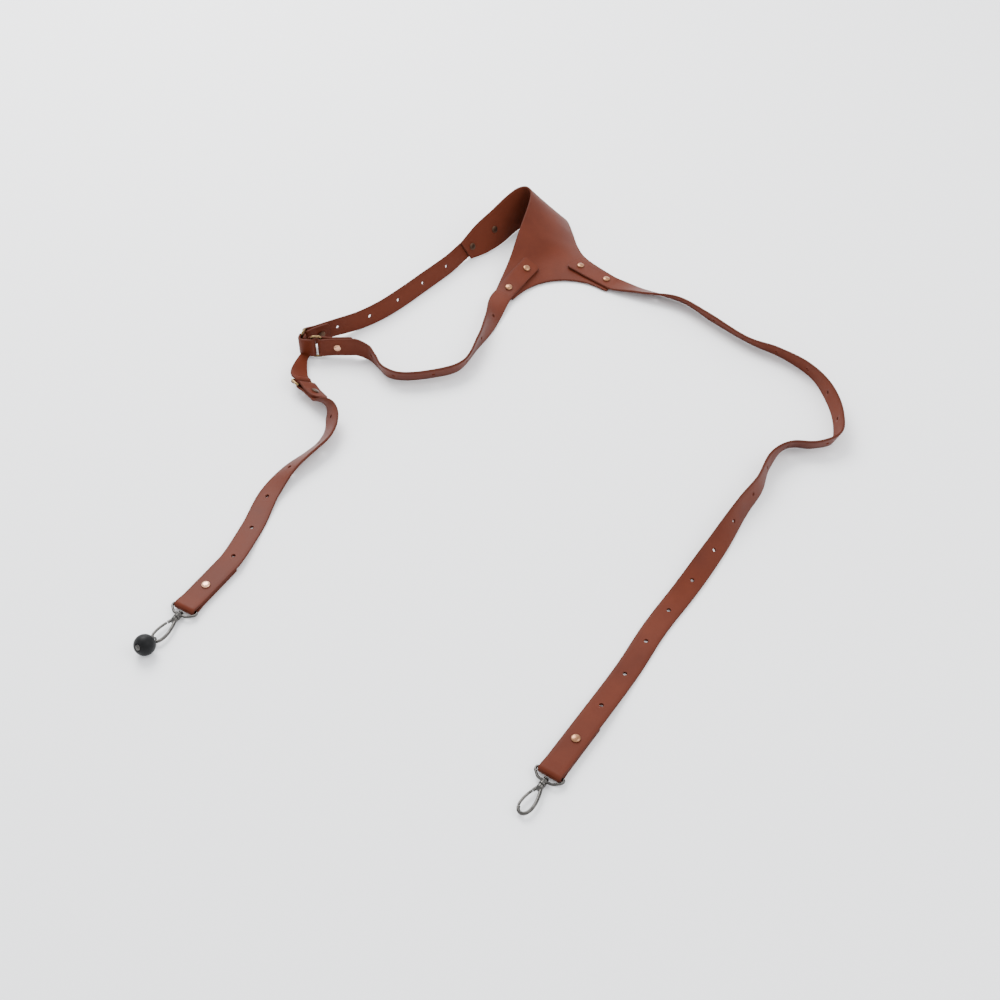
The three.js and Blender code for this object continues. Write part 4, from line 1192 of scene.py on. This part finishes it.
# The camera screw: an eye on the left hook's nose and a rubber ball on its shank.
def camera_screw(hook):
    inner = HOOK_WIRE * 0.5 * math.sqrt(2) + CLEARANCE
    outer = inner + SCREW_EYE_WIRE
    nose = hook.place(HOOK_START + HOOK_LENGTH - HOOK_WIRE / 2, 0)
    flat = BALL_SIZE * BALL_FLAT
    ball_at = outer + CLEARANCE + flat
    tilt = math.acos((BALL_SIZE / 2 - HOOK_PLANE + CLEARANCE) / ball_at)
    away = hook.forward * math.sin(tilt) + UP * math.cos(tilt)
    side = np.cross(away, hook.across)
    middle = (inner + outer) / 2
    circle = [nose + (side * math.cos(a) + away * math.sin(a)) * middle
              for a in np.linspace(0, 2 * math.pi, 48, endpoint=False)]
    ball_middle = nose + away * ball_at
    radius = BALL_SIZE / 2
    lip_angle = math.pi / 2 - LIP_ANGLE
    lip_r, lip_h = math.cos(lip_angle) * radius, math.sin(lip_angle) * radius
    bore = SHANK_SIZE / 2 + CLEARANCE
    pocket = lip_h - POCKET_DEPTH
    begin = -math.asin(flat / radius)
    profile = [(bore, -flat), (math.cos(begin) * radius - 0.5, -flat)]
    turns = np.linspace(begin + 0.04, lip_angle - 0.02, 26)
    profile += [(math.cos(a) * radius, math.sin(a) * radius) for a in turns]
    profile += [(lip_r - 0.15, lip_h + 0.02), (lip_r - POCKET_RIM, lip_h - 0.3)]
    profile += [(lip_r - POCKET_RIM, pocket), (bore, pocket), (bore, -flat)]
    ball = add_mesh("camera_screw_ball", *turned(profile, ball_middle, away, 48),
                    RUBBER_LOOK, "left_snap", "rubber", ("camera_screw_ball",))
    sharpen(ball, 50)
    shank_end = ball_at + pocket + CLEARANCE
    tip_r = min(SCREW_SIZE / 2, lip_r - POCKET_RIM - CLEARANCE)
    tip_h = lip_h + ball_at + TIP_STANDOUT
    shank = turned([(SHANK_SIZE / 2, outer - 0.8), (SHANK_SIZE / 2, shank_end), (tip_r, shank_end),
                    (tip_r, tip_h - 0.9), (tip_r - 0.25, tip_h - 0.4), (tip_r * 0.6, tip_h - 0.08),
                    (0.0, tip_h)], nose, away)
    screw = add_mesh("camera_screw", *joined(swept_tube(circle, SCREW_EYE_WIRE / 2), shank),
                     GUNMETAL_LOOK, "left_snap", "hook", ("camera_screw",))
    sharpen(screw, 45)


camera_screw(LEFT_HOOK)


# The table and the light of a plain studio.
def stage_plane():
    mesh = bpy.data.meshes.new("table")
    size = 6.0
    corners = [(x * size, y * size, 0) for x, y in ((-1, -1), (1, -1), (1, 1), (-1, 1))]
    mesh.from_pydata(corners, [], [(0, 1, 2, 3)])
    shader = Shader("pale_table")
    shader.set(Base_Color=(0.93, 0.93, 0.935), Roughness=0.7)
    mesh.materials.append(shader.material)
    obj = bpy.data.objects.new("table", mesh)
    bpy.context.collection.objects.link(obj)


def area_light(name, place, size, power):
    data = bpy.data.lights.new(name, "AREA")
    data.shape = "RECTANGLE"
    data.size, data.size_y = size
    data.energy = power
    light = bpy.data.objects.new(name, data)
    bpy.context.collection.objects.link(light)
    light.location = place
    light.rotation_euler = (-Vector(place)).to_track_quat("-Z", "Y").to_euler()


stage_plane()
area_light("key", (-0.7, 1.3, 1.7), (1.4, 1.4), 75)
area_light("fill", (1.6, -0.6, 1.9), (1.6, 1.6), 28)
area_light("rear", (0.3, 2.4, 0.9), (2.4, 0.8), 12)
world = bpy.data.worlds.new("studio")
bpy.context.scene.world = world
world.use_nodes = True
world.node_tree.nodes["Background"].inputs["Color"].default_value = (0.95, 0.97, 1.0, 1)
world.node_tree.nodes["Background"].inputs["Strength"].default_value = 1.7
